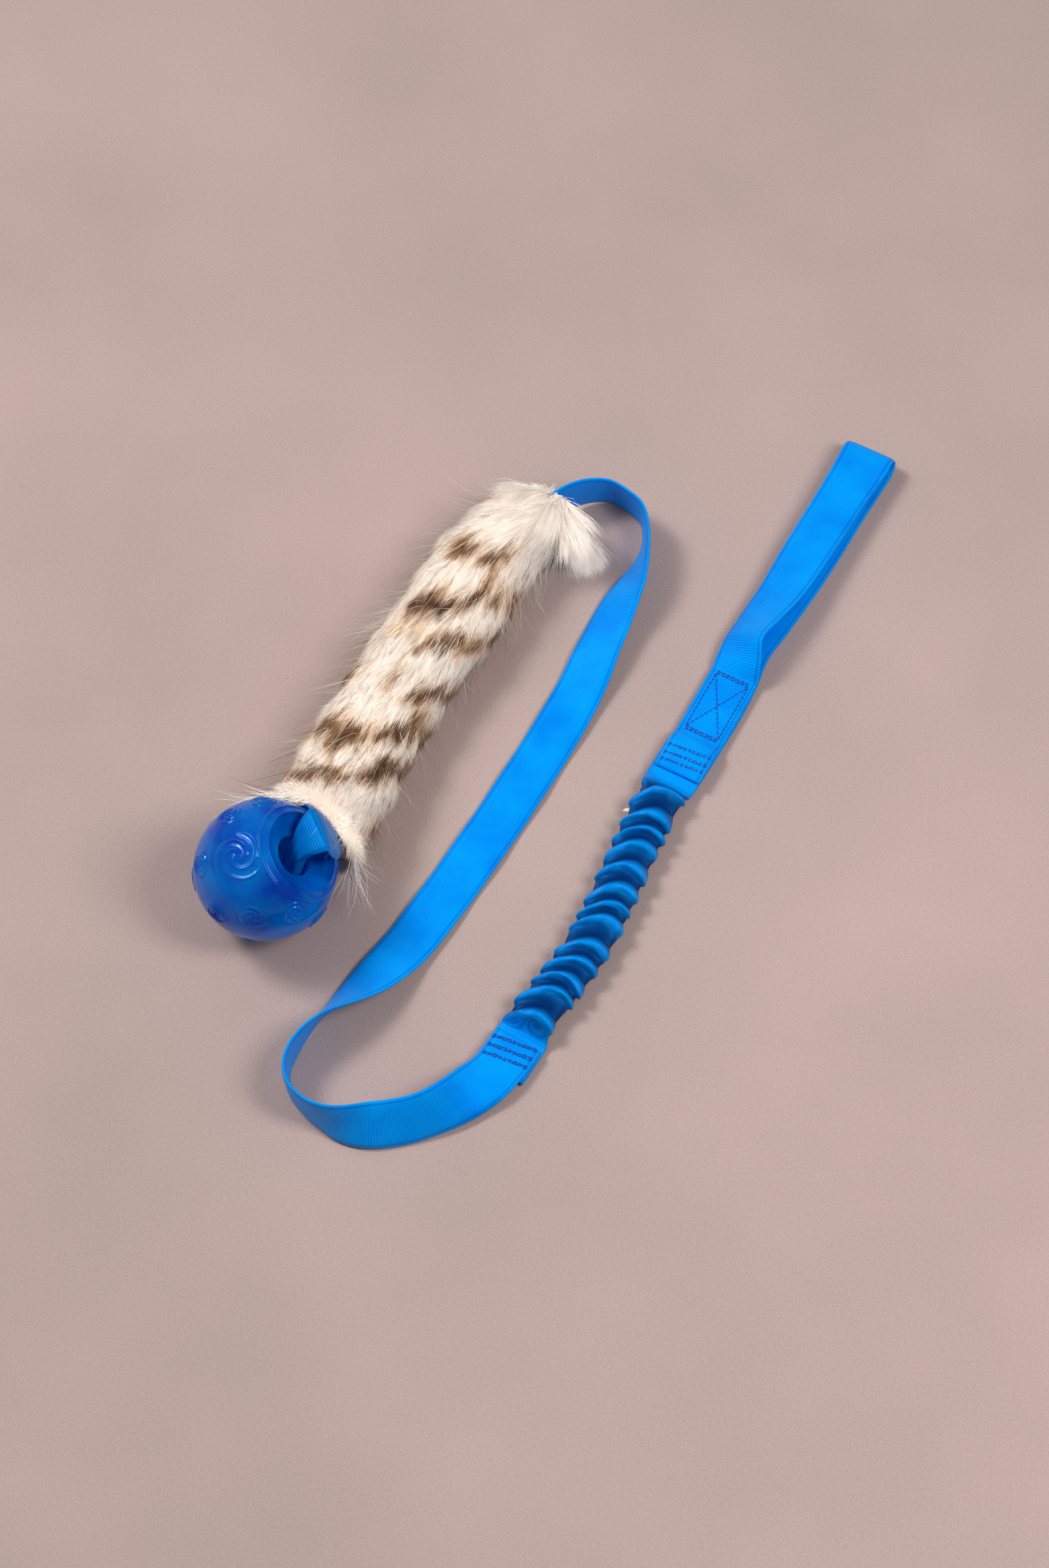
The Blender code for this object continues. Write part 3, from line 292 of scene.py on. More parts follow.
# The strap from the sleeve over the ball into its hole: its middle in shares of the ball's radius, shares of
# the webbing's width and thickness, how far it hugs the ball, and the turn of its level cross direction
FOLD_SHARES = [
    (0.204, 1.474, -0.335, 1.00, 1.0, 0.0, 7),
    (0.245, 1.185, -0.231, 1.00, 1.0, 0.2, 2),
    (0.300, 1.020, 0.000, 1.00, 1.0, 1.0, -15),
    (0.484, 0.906, 0.278, 1.00, 1.0, 1.0, -30),
    (0.620, 0.750, 0.420, 1.00, 1.0, 1.0, -39),
    (0.690, 0.630, 0.620, 1.00, 1.0, 0.8, -39),
    (0.610, 0.555, 0.800, 1.00, 1.1, 0.0, -39),
    (0.530, 0.450, 0.755, 0.86, 1.2, 0.0, -39),
    (0.475, 0.375, 0.660, 0.70, 1.7, 0.0, -39),
    (0.440, 0.320, 0.550, 0.54, 2.2, 0.0, -39),
    (0.400, 0.270, 0.440, 0.48, 2.4, 0.0, -39),
    (0.380, 0.130, 0.150, 0.38, 2.3, 0.0, -39),
    (0.385, 0.040, -0.200, 0.32, 2.1, 0.0, -39),
    (0.375, 0.010, -0.390, 0.28, 1.9, 0.0, -45),
    (0.325, -0.002, -0.545, 0.25, 1.75, 0.0, -65),
    (0.214, -0.006, -0.541, 0.25, 1.75, 0.0, -85),
]
FOLD_LIFT = 0.0027
# Painted shade: the strap over the ball, its knot and its tip take the webbing's colours scaled down by this
FOLD_SHADE_SCALE = 0.55
FOLD_STEPS = 110
KNOT_SIZE_SHARE = 0.115
KNOT_RISE_SHARE = 1.30
KNOT_PLACE_SHARES = (0.0455, -0.273, -0.660)
KNOT_TURN_DEGREES = 60.0
KNOT_STRAND_SHARES = (0.204, 0.138)
KNOT_GAP_DEGREES = 20.0
KNOT_STEPS = 120
KNOT_SIDES = 20
TAIL_LENGTH_SHARE = 0.23
TAIL_SPREAD_SHARE = 1.15
TAIL_THIN_SHARE = 0.9
TAIL_STEPS = 8

# Fur sleeve
SLEEVE_STEP = 0.0015
SLEEVE_SIDES = 96
FUR_POWER = 2.2
HIDE_POWER = 2.6
MOUTH_STEPS = 16
MOUTH_REACH = 0.28
ROOT_DEPTH = 0.0034
HEM_INSET = 0.0006
HAIRS_PER_PIECE = 44000
HIDE_WALL = 0.0013
HIDE_BORE = (0.0266, 0.0060)
PILE_SIZE = (0.0500, 0.0335)
MOUTH_SHARES = (0.73, 0.925)
MOUTH_GAP = 0.0046
SLEEVE_MOUTH_SHIFT = (0.0030, -0.0220, 0.0040)
PILE_SHAPE_SHARES = [
    (0.00, 0.92, 1.22, 0.00),
    (0.08, 0.99, 1.17, 0.00),
    (0.18, 1.03, 1.06, 0.00),
    (0.32, 1.00, 1.00, 0.00),
    (0.50, 0.98, 1.00, 0.02),
    (0.66, 1.02, 1.00, 0.06),
    (0.80, 0.98, 1.02, 0.02),
    (0.90, 0.84, 1.02, 0.00),
    (1.00, 0.64, 1.00, 0.00),
]
HIDE_STEPS = 80
HEM_STEPS = 12
UNDERFUR_STEPS = 90
HEM_ROUGHNESS = 0.00016
PILE_LUMP_SHARE = 0.012
PILE_LUMPS = 10
PILE_FLAT_DEPTH = 0.0008
CUFF_LENGTH = 0.0075
# The hem's two ends as distances from the ball's centre
HEM_START = BALL_RADIUS + MOUTH_GAP
HEM_END = HEM_START + CUFF_LENGTH
RUFF_LENGTH = 0.0130
RUFF_FLARE_SHARE = 1.22
RUFF_STEPS = 8
RUFF_ROOT_DEPTH = 0.0088
RUFF_ROOT_SHARE = 0.42
RUFF_TUFT_WAYS = ((0.88, -0.45, -0.26), (0.40, -0.90, -0.24))

# Brown patches of the coat: y in mm, degrees round the sleeve from its top towards its left, half length
# along the sleeve and half width round it in mm, slant, and how dark it is
PATCHES = [
    (34, 21, 5, 4, 0, 0.85),
    (37, -18, 3.5, 5, -1.0, 0.80),
    (42, -26, 3, 4, -1.0, 0.60),
    (25, -25, 7, 2.5, 0.3, 0.45),
    (-3, 23, 6, 5, -0.6, 1.00),
    (-3, 6, 4.5, 5, -0.4, 0.90),
    (-4, -5, 3, 3, -0.8, 0.95),
    (5, -15, 3, 4, -1.2, 0.85),
    (12, -23, 3, 3.5, -1.3, 0.90),
    (16, -46, 4, 3, -0.5, 0.60),
    (24, -80, 5, 5, -0.5, 0.60),
    (-23, 26, 3, 6, -0.5, 0.45),
    (-18, -24, 4, 5, -0.9, 1.00),
    (-24, -15, 3, 4, -0.9, 0.90),
    (-10, -62, 5, 5, -0.7, 0.65),
    (4, -95, 5, 6, -0.6, 0.70),
    (-54, 67, 4, 5, -0.5, 0.80),
    (-50, 0, 7, 1.2, 0.6, 0.50),
    (-50, -40, 3.5, 4, -0.6, 0.90),
    (-43, -62, 3.5, 5, -0.6, 0.85),
    (-33, -98, 5, 6, -0.5, 1.00),
    (-60, -57, 4, 4, 0.2, 0.60),
    (-87, 50, 5, 6, -0.5, 0.75),
    (-90, 14, 6, 5, -0.5, 0.90),
    (-82, -20, 3.5, 4, -0.9, 0.75),
    (-76, -35, 4, 6, -0.7, 1.00),
    (-67, -60, 3.5, 5, -0.7, 0.70),
    (-62, -98, 6, 6, -0.4, 0.70),
    (-121, 80, 5, 5, -0.5, 0.70),
    (-119, 33, 3.5, 6, -0.5, 0.85),
    (-115, 8, 3, 5, -0.6, 0.75),
    (-110, -16, 2.5, 6, -0.8, 0.80),
    (-98, -43, 4.5, 5, -0.9, 1.00),
    (-92, -60, 3, 4, -0.7, 0.80),
    (-85, -95, 5, 6, -0.5, 0.75),
    (-122, -95, 5, 5, -0.5, 0.60),
    (-146, -95, 6, 6, 0, 0.80),
]
# The same on the side that the photograph hides: rows along it and places round it
HIDDEN_PATCH_ROWS = (32, 2, -24, -54, -87, -119)
HIDDEN_PATCH_TURNS = (112, 148, 184, 222)
MM_PER_DEGREE = 0.37
PATCH_SPREAD = 2.2
# The coat's colours, from white to its darkest brown
COAT_STOPS = [
    (0.00, "FFF9F1"),
    (0.20, "FBE7CC"),
    (0.40, "BE9062"),
    (0.62, "734826"),
    (1.00, "3A2518"),
]

# Hairs: the cells of their locks and tufts are in mm, and the rooms keep them off the ball
HAIR_BEND_SHARE = 0.55
HAIR_STEP_SHARES = (0.32, 0.36, 0.32)
HAIR_TAPER_SHARES = (1.0, 0.95, 0.62)
HAIR_TWIST = 0.9
COAT_ROOM = 0.0006
FUZZ_ROOM = 0.0008
WHISKER_ROOM = 0.0010
COAT_START_SHARE = 0.4
COAT_STEPS = 120
LOCK_CELL = 6.5
TUFT_CELL = 2.2
RUFF_TUFT_CELL = 3.4
# Each hair's tone: partly its own unevenness, partly painted shade between hairs
TONE_TOP = 1.02
TONE_FALL = (1.3, 0.11)
HAIR_COLOUR_SHARES = (0.35, 0.8, 1.0, 0.9)
# Stray hairs: their usual share, and where there are more: y in mm, degrees, the spread of both, the share
STRAY_SHARE = 0.009
STRAY_SPOTS = [
    (-8, 85, 12, 28, 0.06),
    (38, -85, 13, 28, 0.06),
]
STRAY_LENGTH_SHARES = (1.2, 1.9)
HEM_HAIRS = 17000
HEM_HAIR_LENGTHS = (0.0035, 0.0085)
HEM_WISP_LENGTHS = (0.010, 0.034)
# Long single hairs round the hem: how many, degrees round it from the top towards the left, way and spread
WHISKERS = [
    (52, 80, (-0.84, -0.52, 0.12), 24),
    (14, 30, (-0.45, -0.85, 0.25), 14),
    (34, -112, (0.66, -0.74, 0.05), 18),
]
WHISKER_LENGTHS = (0.016, 0.040)
RUFF_HAIRS = 36000
RUFF_PIECES = 3
RUFF_SAG = 0.06

# Stage: each lamp's name, its place across, ahead and up from the aim, its sides, and its share of a power
LAMPS = [
    ("key_box", (-1.42, 0.67, 1.95), (1.20, 1.20), 0.5, "key"),
    ("key_core", (-1.40, 0.66, 1.92), (0.52, 0.52), 0.5, "key"),
    ("fill_box", (0.76, -0.30, 1.10), (0.40, 0.60), 1.0, "fill"),
]
WORLD_COLOUR = "827F82"
FLOOR_HALF = 4.0


# Colours


def linear(hex_colour):
    """An sRGB hex colour as linear values."""
    found = []
    for k in (0, 2, 4):
        value = int(hex_colour[k : k + 2], 16) / 255
        found.append(value / 12.92 if value <= 0.04045 else ((value + 0.055) / 1.055) ** 2.4)
    return (*found, 1.0)


# Values shown in the sidebar


def size(title, about, default):
    """A length in metres."""
    return FloatProperty(name=title, description=about, default=default, unit="LENGTH")


def power(title, about, default):
    """A lamp's power in watts."""
    return FloatProperty(name=title, description=about, default=default, unit="POWER")


def colour(title, about, hex_colour):
    """A colour, kept as linear values."""
    default = linear(hex_colour)[:3]
    return FloatVectorProperty(name=title, description=about, default=default, subtype="COLOR")


class TugWebbing(bpy.types.PropertyGroup):
    rib: size("Rib spacing", "Distance between cross ribs", 0.0012)
    step: size("Step", "Length of one modelled slice", 0.0015)
    stitch: size("Stitch", "Length of one sewn stitch", 0.0027)
    thread: size("Thread", "Thickness of the sewing thread", 0.0006)
    # Deep and bright are shaded and lit copies of one blue, which the material mixes as painted shade and
    # painted highlight
    deep: colour("Deep colour", "Webbing between its ribs", "0064D8")
    bright: colour("Bright colour", "Webbing on its ribs", "00A2FF")


class TugBungee(bpy.types.PropertyGroup):
    pleats: IntProperty(name="Pleats", description="Number of gathers along it", default=14, min=6, max=24)
    crest: size("Crest", "Cover's width over a pleat", 0.0254)
    valley: size("Valley", "Cover's width between pleats", 0.0208)
    # Deep and bright are shaded and lit copies of the cover's blue, which the material mixes as painted shade
    # and painted highlight
    deep: colour("Deep colour", "Cover between its ribs", "0050C0")
    bright: colour("Bright colour", "Cover on its ribs", "00A0FA")


class TugFur(bpy.types.PropertyGroup):
    hairs: IntProperty(name="Hairs", description="Number of hairs in the coat", default=130000, min=1000)
    length: size("Hair length", "Usual length of a hair", 0.0160)
    width: size("Hair width", "Width of a hair at its root", 0.00021)


class TugBall(bpy.types.PropertyGroup):
    ridge: size("Ridge height", "Height of the raised spirals", 0.0009)
    clearness: FloatProperty(
        name="Clearness",
        description="Share of light that passes the rubber",
        default=0.60,
        min=0,
        max=1,
        subtype="FACTOR",
    )


class TugStage(bpy.types.PropertyGroup):
    key: power("Key light", "Power of the large soft boxes", 43.0)
    fill: power("Fill light", "Power of the small soft box", 10.0)
    floor: colour("Floor", "Colour of the floor", "B49E97")


# Curves and frames


def mixed(a, b, share):
    """A value or place between two."""
    return a + (b - a) * share


def eased(t):
    """0 to 1 with a gentle start and end."""
    t = min(max(t, 0.0), 1.0)
    return t * t * (3 - 2 * t)


def hermite(rows, at, along):
    """The row at one distance along a smooth curve through the rows; their distances are in at."""
    last = len(rows) - 1
    i = next((k for k in range(last) if along <= at[k + 1]), last - 1)
    span = at[i + 1] - at[i]
    t = (along - at[i]) / span
    before = max(i - 1, 0)
    after = min(i + 2, last)
    found = []
    for column in range(len(rows[0])):
        a = rows[i][column]
        b = rows[i + 1][column]
        slope_a = (b - rows[before][column]) / (at[i + 1] - at[before]) * span
        slope_b = (rows[after][column] - a) / (at[after] - at[i]) * span
        curve = a * (1 + 2 * t) * (1 - t) ** 2 + b * t * t * (3 - 2 * t)
        found.append(curve + slope_a * t * (1 - t) ** 2 + slope_b * t * t * (t - 1))
    return found


def distances(rows, columns):
    """Each row's distance along the route."""
    at = [0.0]
    for a, b in zip(rows, rows[1:]):
        at.append(at[-1] + math.dist(a[:columns], b[:columns]))
    return at


def smooth_rows(rows, count, columns=3):
    """Evenly spaced rows along a smooth curve through the rows."""
    at = distances(rows, columns)
    return [hermite(rows, at, at[-1] * k / count) for k in range(count + 1)]


def directions(points):
    """The route's way at each point."""
    found = []
    for i in range(len(points)):
        found.append((points[min(i + 1, len(points) - 1)] - points[max(i - 1, 0)]).normalized())
    return found


def strap_frames(rows, neck_end, step):
    """Centres, cross directions and normals of webbing that lies at each row's lift and roll."""
    count = round(distances(rows, 2)[-1] / step)
    centres, rolls = [], []
    for x, y, lift, roll in smooth_rows(rows, count, columns=2):
        roll = math.radians(roll)
        rest = (WEB_WIDTH - WEB_THICKNESS) / 2 * abs(math.sin(roll)) + WEB_THICKNESS / 2
        centres.append(Vector((x, y, lift + rest)))
        rolls.append(roll)
    ways = directions(centres)
    heading = math.radians(NECK_HEADING_DEGREES)
    ways[neck_end] = Vector((math.cos(heading), math.sin(heading), 0))
    crosses, normals = [], []
    for way, roll in zip(ways, rolls):
        left = UP.cross(way).normalized()
        crosses.append(left * math.cos(roll) + way.cross(left) * math.sin(roll))
        normals.append(way.cross(crosses[-1]))
    return centres, crosses, normals


def oval(centre, cross, normal, width, height, sides, power=2.0):
    """A ring of points; a power above 2 makes it squarer."""
    ring = []
    for k in range(sides):
        angle = 2 * math.pi * (k + 0.5) / sides
        c, s = math.cos(angle), math.sin(angle)
        across = math.copysign(abs(c) ** (2 / power), c) * width / 2
        up = math.copysign(abs(s) ** (2 / power), s) * height / 2
        ring.append(centre + cross * across + normal * up)
    return ring


# Meshes


def mark(mesh, title, values):
    """Stores one number for each point, which a material reads."""
    layer = mesh.attributes.new(title, "FLOAT", "POINT")
    layer.data.foreach_set("value", np.asarray(values, np.float32).ravel())


def lay_map(mesh, title, places):
    """Stores a UV map, with a place for each corner of each face."""
    layer = mesh.uv_layers.new(name=title)
    layer.data.foreach_set("uv", np.asarray(places).astype(np.float32).ravel())


def new_piece(name, mesh):
    """An object of this mesh, in the scene."""
    piece = bpy.data.objects.new(name, mesh)
    bpy.context.scene.collection.objects.link(piece)
    return piece


def lofted(name, rows, coords, caps=False, looped=False):
    """A closed mesh through rings of points. coords is each point's place on the pattern in mm."""
    rows = np.array([[tuple(p) for p in row] for row in rows])
    coords = np.array(coords)
    n, m, _ = rows.shape
    i = np.arange(n if looped else n - 1)[:, None]
    j = np.arange(m)[None, :]
    corners = [(i, j), (i, j + 1), (i + 1, j + 1), (i + 1, j)]
    quads = np.stack([a % n * m + b % m for a, b in corners], -1).reshape(-1, 4)
    places = np.stack([coords[a % n, b] for a, b in corners], -2).reshape(-1, 2)
    faces = quads.tolist()
    if caps:
        faces.append(list(range(m))[::-1])
        faces.append([(n - 1) * m + k for k in range(m)])
        places = np.concatenate([places, coords[0, :m][::-1], coords[-1, :m]])
    mesh = bpy.data.meshes.new(name)
    mesh.from_pydata(rows.reshape(-1, 3).tolist(), [], faces)
    lay_map(mesh, "Pattern", places / PATTERN_SPAN)
    mesh.shade_smooth()
    bm = bmesh.new()
    bm.from_mesh(mesh)
    bmesh.ops.recalc_face_normals(bm, faces=bm.faces)
    bm.to_mesh(mesh)
    bm.free()
    return new_piece(name, mesh)


def ring_coords(rows):
    """Each point's place on the pattern: mm round its ring and mm along."""
    rows = np.array([[tuple(p) for p in row] for row in rows])
    around = np.linalg.norm(rows - np.roll(rows, 1, axis=1), axis=2).cumsum(axis=1)
    around = np.concatenate([np.zeros((len(rows), 1)), around], axis=1)
    steps = np.linalg.norm(np.diff(rows, axis=0), axis=2).mean(axis=1)
    along = np.concatenate([[0], steps.cumsum()])[:, None] * np.ones_like(around)
    return np.stack([around, along], -1) / MM


def dress(obj, material, body, slot, *nodes):
    """Gives a piece its material and its body unless it blends between two, and hides the parts it stands
    for.
    """
    obj.data.materials.clear()
    obj.data.materials.append(material)
    if body:
        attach(obj, body)
    if nodes:
        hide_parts(*nodes)
    return obj


def webbing(name, frames):
    """Tubular webbing, with beaded edges, through (centre, cross, normal, width, thickness, cup) frames."""
    steps = [math.sin(math.pi / 2 * (2 * k / WEB_ACROSS - 1)) for k in range(WEB_ACROSS + 1)]
    outline = [(a, 1) for a in steps] + [(a, -1) for a in steps[-2:0:-1]]
    half = WEB_WIDTH / 2 / MM
    round_way = [a * half if side > 0 else (2 - a) * half for a, side in outline] + [3 * half]
    rows, coords = [], []
    along = 0.0
    before = None
    for centre, cross, normal, width, thickness, cup in frames:
        along += (centre - before).length if before else 0.0
        before = centre
        gathered = max(0.0, 1 - width / WEB_WIDTH)
        row = []
        for a, side in outline:
            across = a * width / 2
            bead = 1 - BEAD_DEPTH * math.exp(-(((abs(a) - BEAD_PLACE) / BEAD_WIDTH) ** 2))
            height = side * thickness / 2 * (1 - a**8) ** 0.5 * bead - cup * across * across
            height += gathered * WEB_THICKNESS * 0.45 * math.sin(7 * a + 1.3 * side)
            row.append(centre + cross * across + normal * height)
        rows.append(row)
        coords.append([(place, along / MM) for place in round_way])
    return lofted(name, rows, coords, caps=True)


# Materials


def fill(tree, node, inputs):
    """Links or sets a node's inputs."""
    for name, value in inputs.items():
        if isinstance(value, bpy.types.NodeSocket):
            tree.links.new(value, node.inputs[name])
        else:
            node.inputs[name].default_value = value


def add(tree, kind, inputs, stops=(), **settings):
    """A node of this kind with its settings, its inputs, and a ramp's places and colours."""
    node = tree.nodes.new("ShaderNode" + kind)
    for name, value in settings.items():
        setattr(node, name, value)
    fill(tree, node, inputs)
    if stops:
        while len(node.color_ramp.elements) < len(stops):
            node.color_ramp.elements.new(0.5)
        for element, (place, colour) in zip(node.color_ramp.elements, stops):
            element.position = place
            element.color = linear(colour)
    return node


def begin(name):
    """A new material with its tree and its Principled shader."""
    found = bpy.data.materials.new(name)
    found.use_nodes = True
    tree = found.node_tree
    tree.nodes.clear()
    shader = add(tree, "BsdfPrincipled", {})
    add(tree, "OutputMaterial", {"Surface": shader.outputs[0]})
    return found, tree, shader


def waves(tree, socket, spacing_mm, sharp=1.0):
    """0 to 1 and back once in each spacing, from a coordinate of the pattern's map."""
    turned = add(tree, "Math", {0: socket, 1: 2 * math.pi * PATTERN_SPAN / spacing_mm}, operation="MULTIPLY")
    wave = add(tree, "Math", {0: turned.outputs[0]}, operation="SINE")
    lifted = add(tree, "Math", {0: wave.outputs[0], 1: 0.5, 2: 0.5}, operation="MULTIPLY_ADD")
    return add(tree, "Math", {0: lifted.outputs[0], 1: sharp}, operation="POWER").outputs[0]


def nylon_webbing(name, rib_mm, deep, bright, gathered=False):
    """Woven nylon tubular webbing: its cross ribs give fine lines, and its filament yarns a silky gloss. Its
    colour is painted lighter on the rib tops and in broad satin bands and darker in the grooves, as painted
    highlight and shade.
    """
    found, tree, shader = begin(name)
    place = add(tree, "UVMap", {}, uv_map="Pattern").outputs["UV"]
    parts = add(tree, "SeparateXYZ", {0: place})
    across, along = parts.outputs["X"], parts.outputs["Y"]
    ribs = waves(tree, along, rib_mm, 0.8)
    yarns = waves(tree, across, 0.5)
    # Clouds over 22 mm that make the gloss uneven and paint broad satin bands of highlight and shade into the
    # colour, and loose fibres of 0.4 mm
    cloudy = {"Vector": place, "Scale": PATTERN_SPAN / 22.2, "Detail": 2.0}
    cloud = add(tree, "TexNoise", cloudy).outputs["Fac"]
    fuzzy = {"Vector": place, "Scale": PATTERN_SPAN / 0.385, "Detail": 2.0}
    fuzz = add(tree, "TexNoise", fuzzy).outputs["Fac"]
    woven = add(tree, "Math", {0: yarns, 1: 0.22, 2: ribs}, operation="MULTIPLY_ADD").outputs[0]
    shaded = add(tree, "Math", {0: woven, 1: 0.42, 2: 0.12}, operation="MULTIPLY_ADD").outputs[0]
    uneven = add(tree, "Math", {0: cloud, 1: 0.80, 2: shaded}, operation="MULTIPLY_ADD").outputs[0]
    spread = add(tree, "MapRange", {"Value": uneven, "From Min": 0.28, "From Max": 1.0}).outputs[0]
    # Partly the weave's own tone, partly painted light: rib tops and cloud bands mix towards the bright
    # colour as painted highlight, grooves towards the deep colour as painted shade
    dye_and_shade = add(tree, "Mix", {"Factor": spread, "A": deep, "B": bright}, data_type="RGBA").outputs["Result"]
    height = add(tree, "Math", {0: fuzz, 1: 0.35, 2: woven}, operation="MULTIPLY_ADD").outputs[0]
    if gathered:
        # Painted shade: cloth deep in a gather, where little light gets in, is darkened towards a near-black
        # blue
        depth = add(tree, "Attribute", {}, attribute_name="fold_depth").outputs["Fac"]
        gather_shade = {"Factor": depth, "A": dye_and_shade, "B": linear("001C58")}
        dye_and_shade = add(tree, "Mix", gather_shade, data_type="RGBA").outputs["Result"]
    else:
        # The selvedge's locking thread: a row of dark dots 1.7 mm in from each edge
        half = WEB_WIDTH / 2 / MM / PATTERN_SPAN
        moved = add(tree, "Math", {0: across, 1: half}, operation="ADD").outputs[0]
        reach = add(tree, "Math", {0: moved, 1: half}, operation="PINGPONG").outputs[0]
        off = add(tree, "Math", {0: reach, 1: LOCK_THREAD_MM / PATTERN_SPAN}, operation="SUBTRACT").outputs[0]
        off = add(tree, "Math", {0: off}, operation="ABSOLUTE").outputs[0]
        inner, outer = (part / PATTERN_SPAN for part in LOCK_THREAD_HALF_WIDTHS_MM)
        edges = {"Value": off, "From Min": inner, "From Max": outer, "To Min": 1.0, "To Max": 0.0}
        line = add(tree, "MapRange", edges).outputs[0]
        dots = waves(tree, along, rib_mm, 2.0)
        stitch = add(tree, "Math", {0: line, 1: dots}, operation="MULTIPLY").outputs[0]
        locked = {"Factor": stitch, "A": dye_and_shade, "B": linear("043E96")}
        dye_and_shade = add(tree, "Mix", locked, data_type="RGBA").outputs["Result"]
        height = add(tree, "Math", {0: stitch, 1: -1.6, 2: height}, operation="MULTIPLY_ADD").outputs[0]
    bump = add(tree, "Bump", {"Height": height, "Strength": 0.45, "Distance": 0.00018})
    smooth, dull = (0.27, 0.36) if gathered else (0.34, 0.48)
    surface = {
        "Base Color": dye_and_shade,
        "Normal": bump.outputs[0],
        "Roughness": add(tree, "MapRange", {"Value": cloud, "To Min": smooth, "To Max": dull}).outputs[0],
        "Specular IOR Level": 1.0 if gathered else 0.9,
        "Specular Tint": linear("30A0FF" if gathered else "008CFF"),
    }
    fill(tree, shader, surface)
    return found


def polyester_thread():
    """Twisted polyester sewing thread: a darker blue with a fine slanted twist and small highlights."""
    found, tree, shader = begin("polyester_thread")
    place = add(tree, "UVMap", {}, uv_map="Pattern").outputs["UV"]
    parts = add(tree, "SeparateXYZ", {0: place})
    slant = {0: parts.outputs["X"], 1: 0.6, 2: parts.outputs["Y"]}
    slanted = add(tree, "Math", slant, operation="MULTIPLY_ADD").outputs[0]
    twist = waves(tree, slanted, 0.6)
    dye_and_shade = add(tree, "ValToRGB", {"Fac": twist}, [(0.0, "053C92"), (1.0, "0D63CE")]).outputs["Color"]
    bump = add(tree, "Bump", {"Height": twist, "Strength": 0.6, "Distance": 0.0001})
    fill(tree, shader, {"Base Color": dye_and_shade, "Normal": bump.outputs[0], "Roughness": 0.42})
    return found


def braided_elastic():
    """Braided elastic over latex strands: off-white, with fine slanted crossings 1.1 mm apart."""
    found, tree, shader = begin("braided_elastic")
    place = add(tree, "TexCoord", {}).outputs["Object"]
    cells = add(tree, "TexVoronoi", {"Vector": place, "Scale": OBJECT_SPAN / 1.11}).outputs["Distance"]
    braid = add(tree, "ValToRGB", {"Fac": cells}, [(0.0, "F4F1E8"), (1.0, "CFC9BA")]).outputs["Color"]
    bump = add(tree, "Bump", {"Height": cells, "Strength": 0.5, "Distance": 0.0003})
    fill(tree, shader, {"Base Color": braid, "Normal": bump.outputs[0], "Roughness": 0.7})
    return found


def tanned_hide():
    """Tanned rabbit hide: pale pink skin with fine creases, faint veins and a dull dry surface."""
    found, tree, shader = begin("tanned_hide")
    place = add(tree, "TexCoord", {}).outputs["Object"]
    # Pores of 1.4 mm, creases 3.9 mm apart, blotches of 11 mm and veins of 5.6 mm
    pores = {"Vector": place, "Scale": OBJECT_SPAN / 1.43, "Detail": 4.0}
    grain = add(tree, "TexNoise", pores).outputs["Fac"]
    creases = {"Vector": place, "Scale": OBJECT_SPAN / 3.85}
    crease = add(tree, "TexVoronoi", creases, feature="DISTANCE_TO_EDGE").outputs["Distance"]
    blotches = {"Vector": place, "Scale": OBJECT_SPAN / 11.1, "Detail": 3.0}
    cloud = add(tree, "TexNoise", blotches).outputs["Fac"]
    skin_stops = [(0.3, "D9B5A6"), (0.5, "EACBBF"), (0.7, "F5E0D6")]
    skin = add(tree, "ValToRGB", {"Fac": cloud}, skin_stops).outputs["Color"]
    branches = {"Vector": place, "Scale": OBJECT_SPAN / 5.56, "Detail": 6.0, "Distortion": 1.5}
    veins = add(tree, "TexNoise", branches).outputs["Fac"]
    vein = add(tree, "MapRange", {"Value": veins, "From Min": 0.60, "From Max": 0.68}).outputs[0]
    veined = add(tree, "Mix", {"Factor": vein, "A": skin, "B": linear("A98378")}, data_type="RGBA")
    height = add(tree, "Math", {0: crease, 1: 1.4, 2: grain}, operation="MULTIPLY_ADD").outputs[0]
    bump = add(tree, "Bump", {"Height": height, "Strength": 0.6, "Distance": 0.0004})
    surface = {
        "Base Color": veined.outputs["Result"],
        "Normal": bump.outputs[0],
        "Roughness": 0.62,
        "Subsurface Weight": 0.15,
        "Subsurface Radius": (0.003, 0.0012, 0.0008),
    }
    fill(tree, shader, surface)
    return found


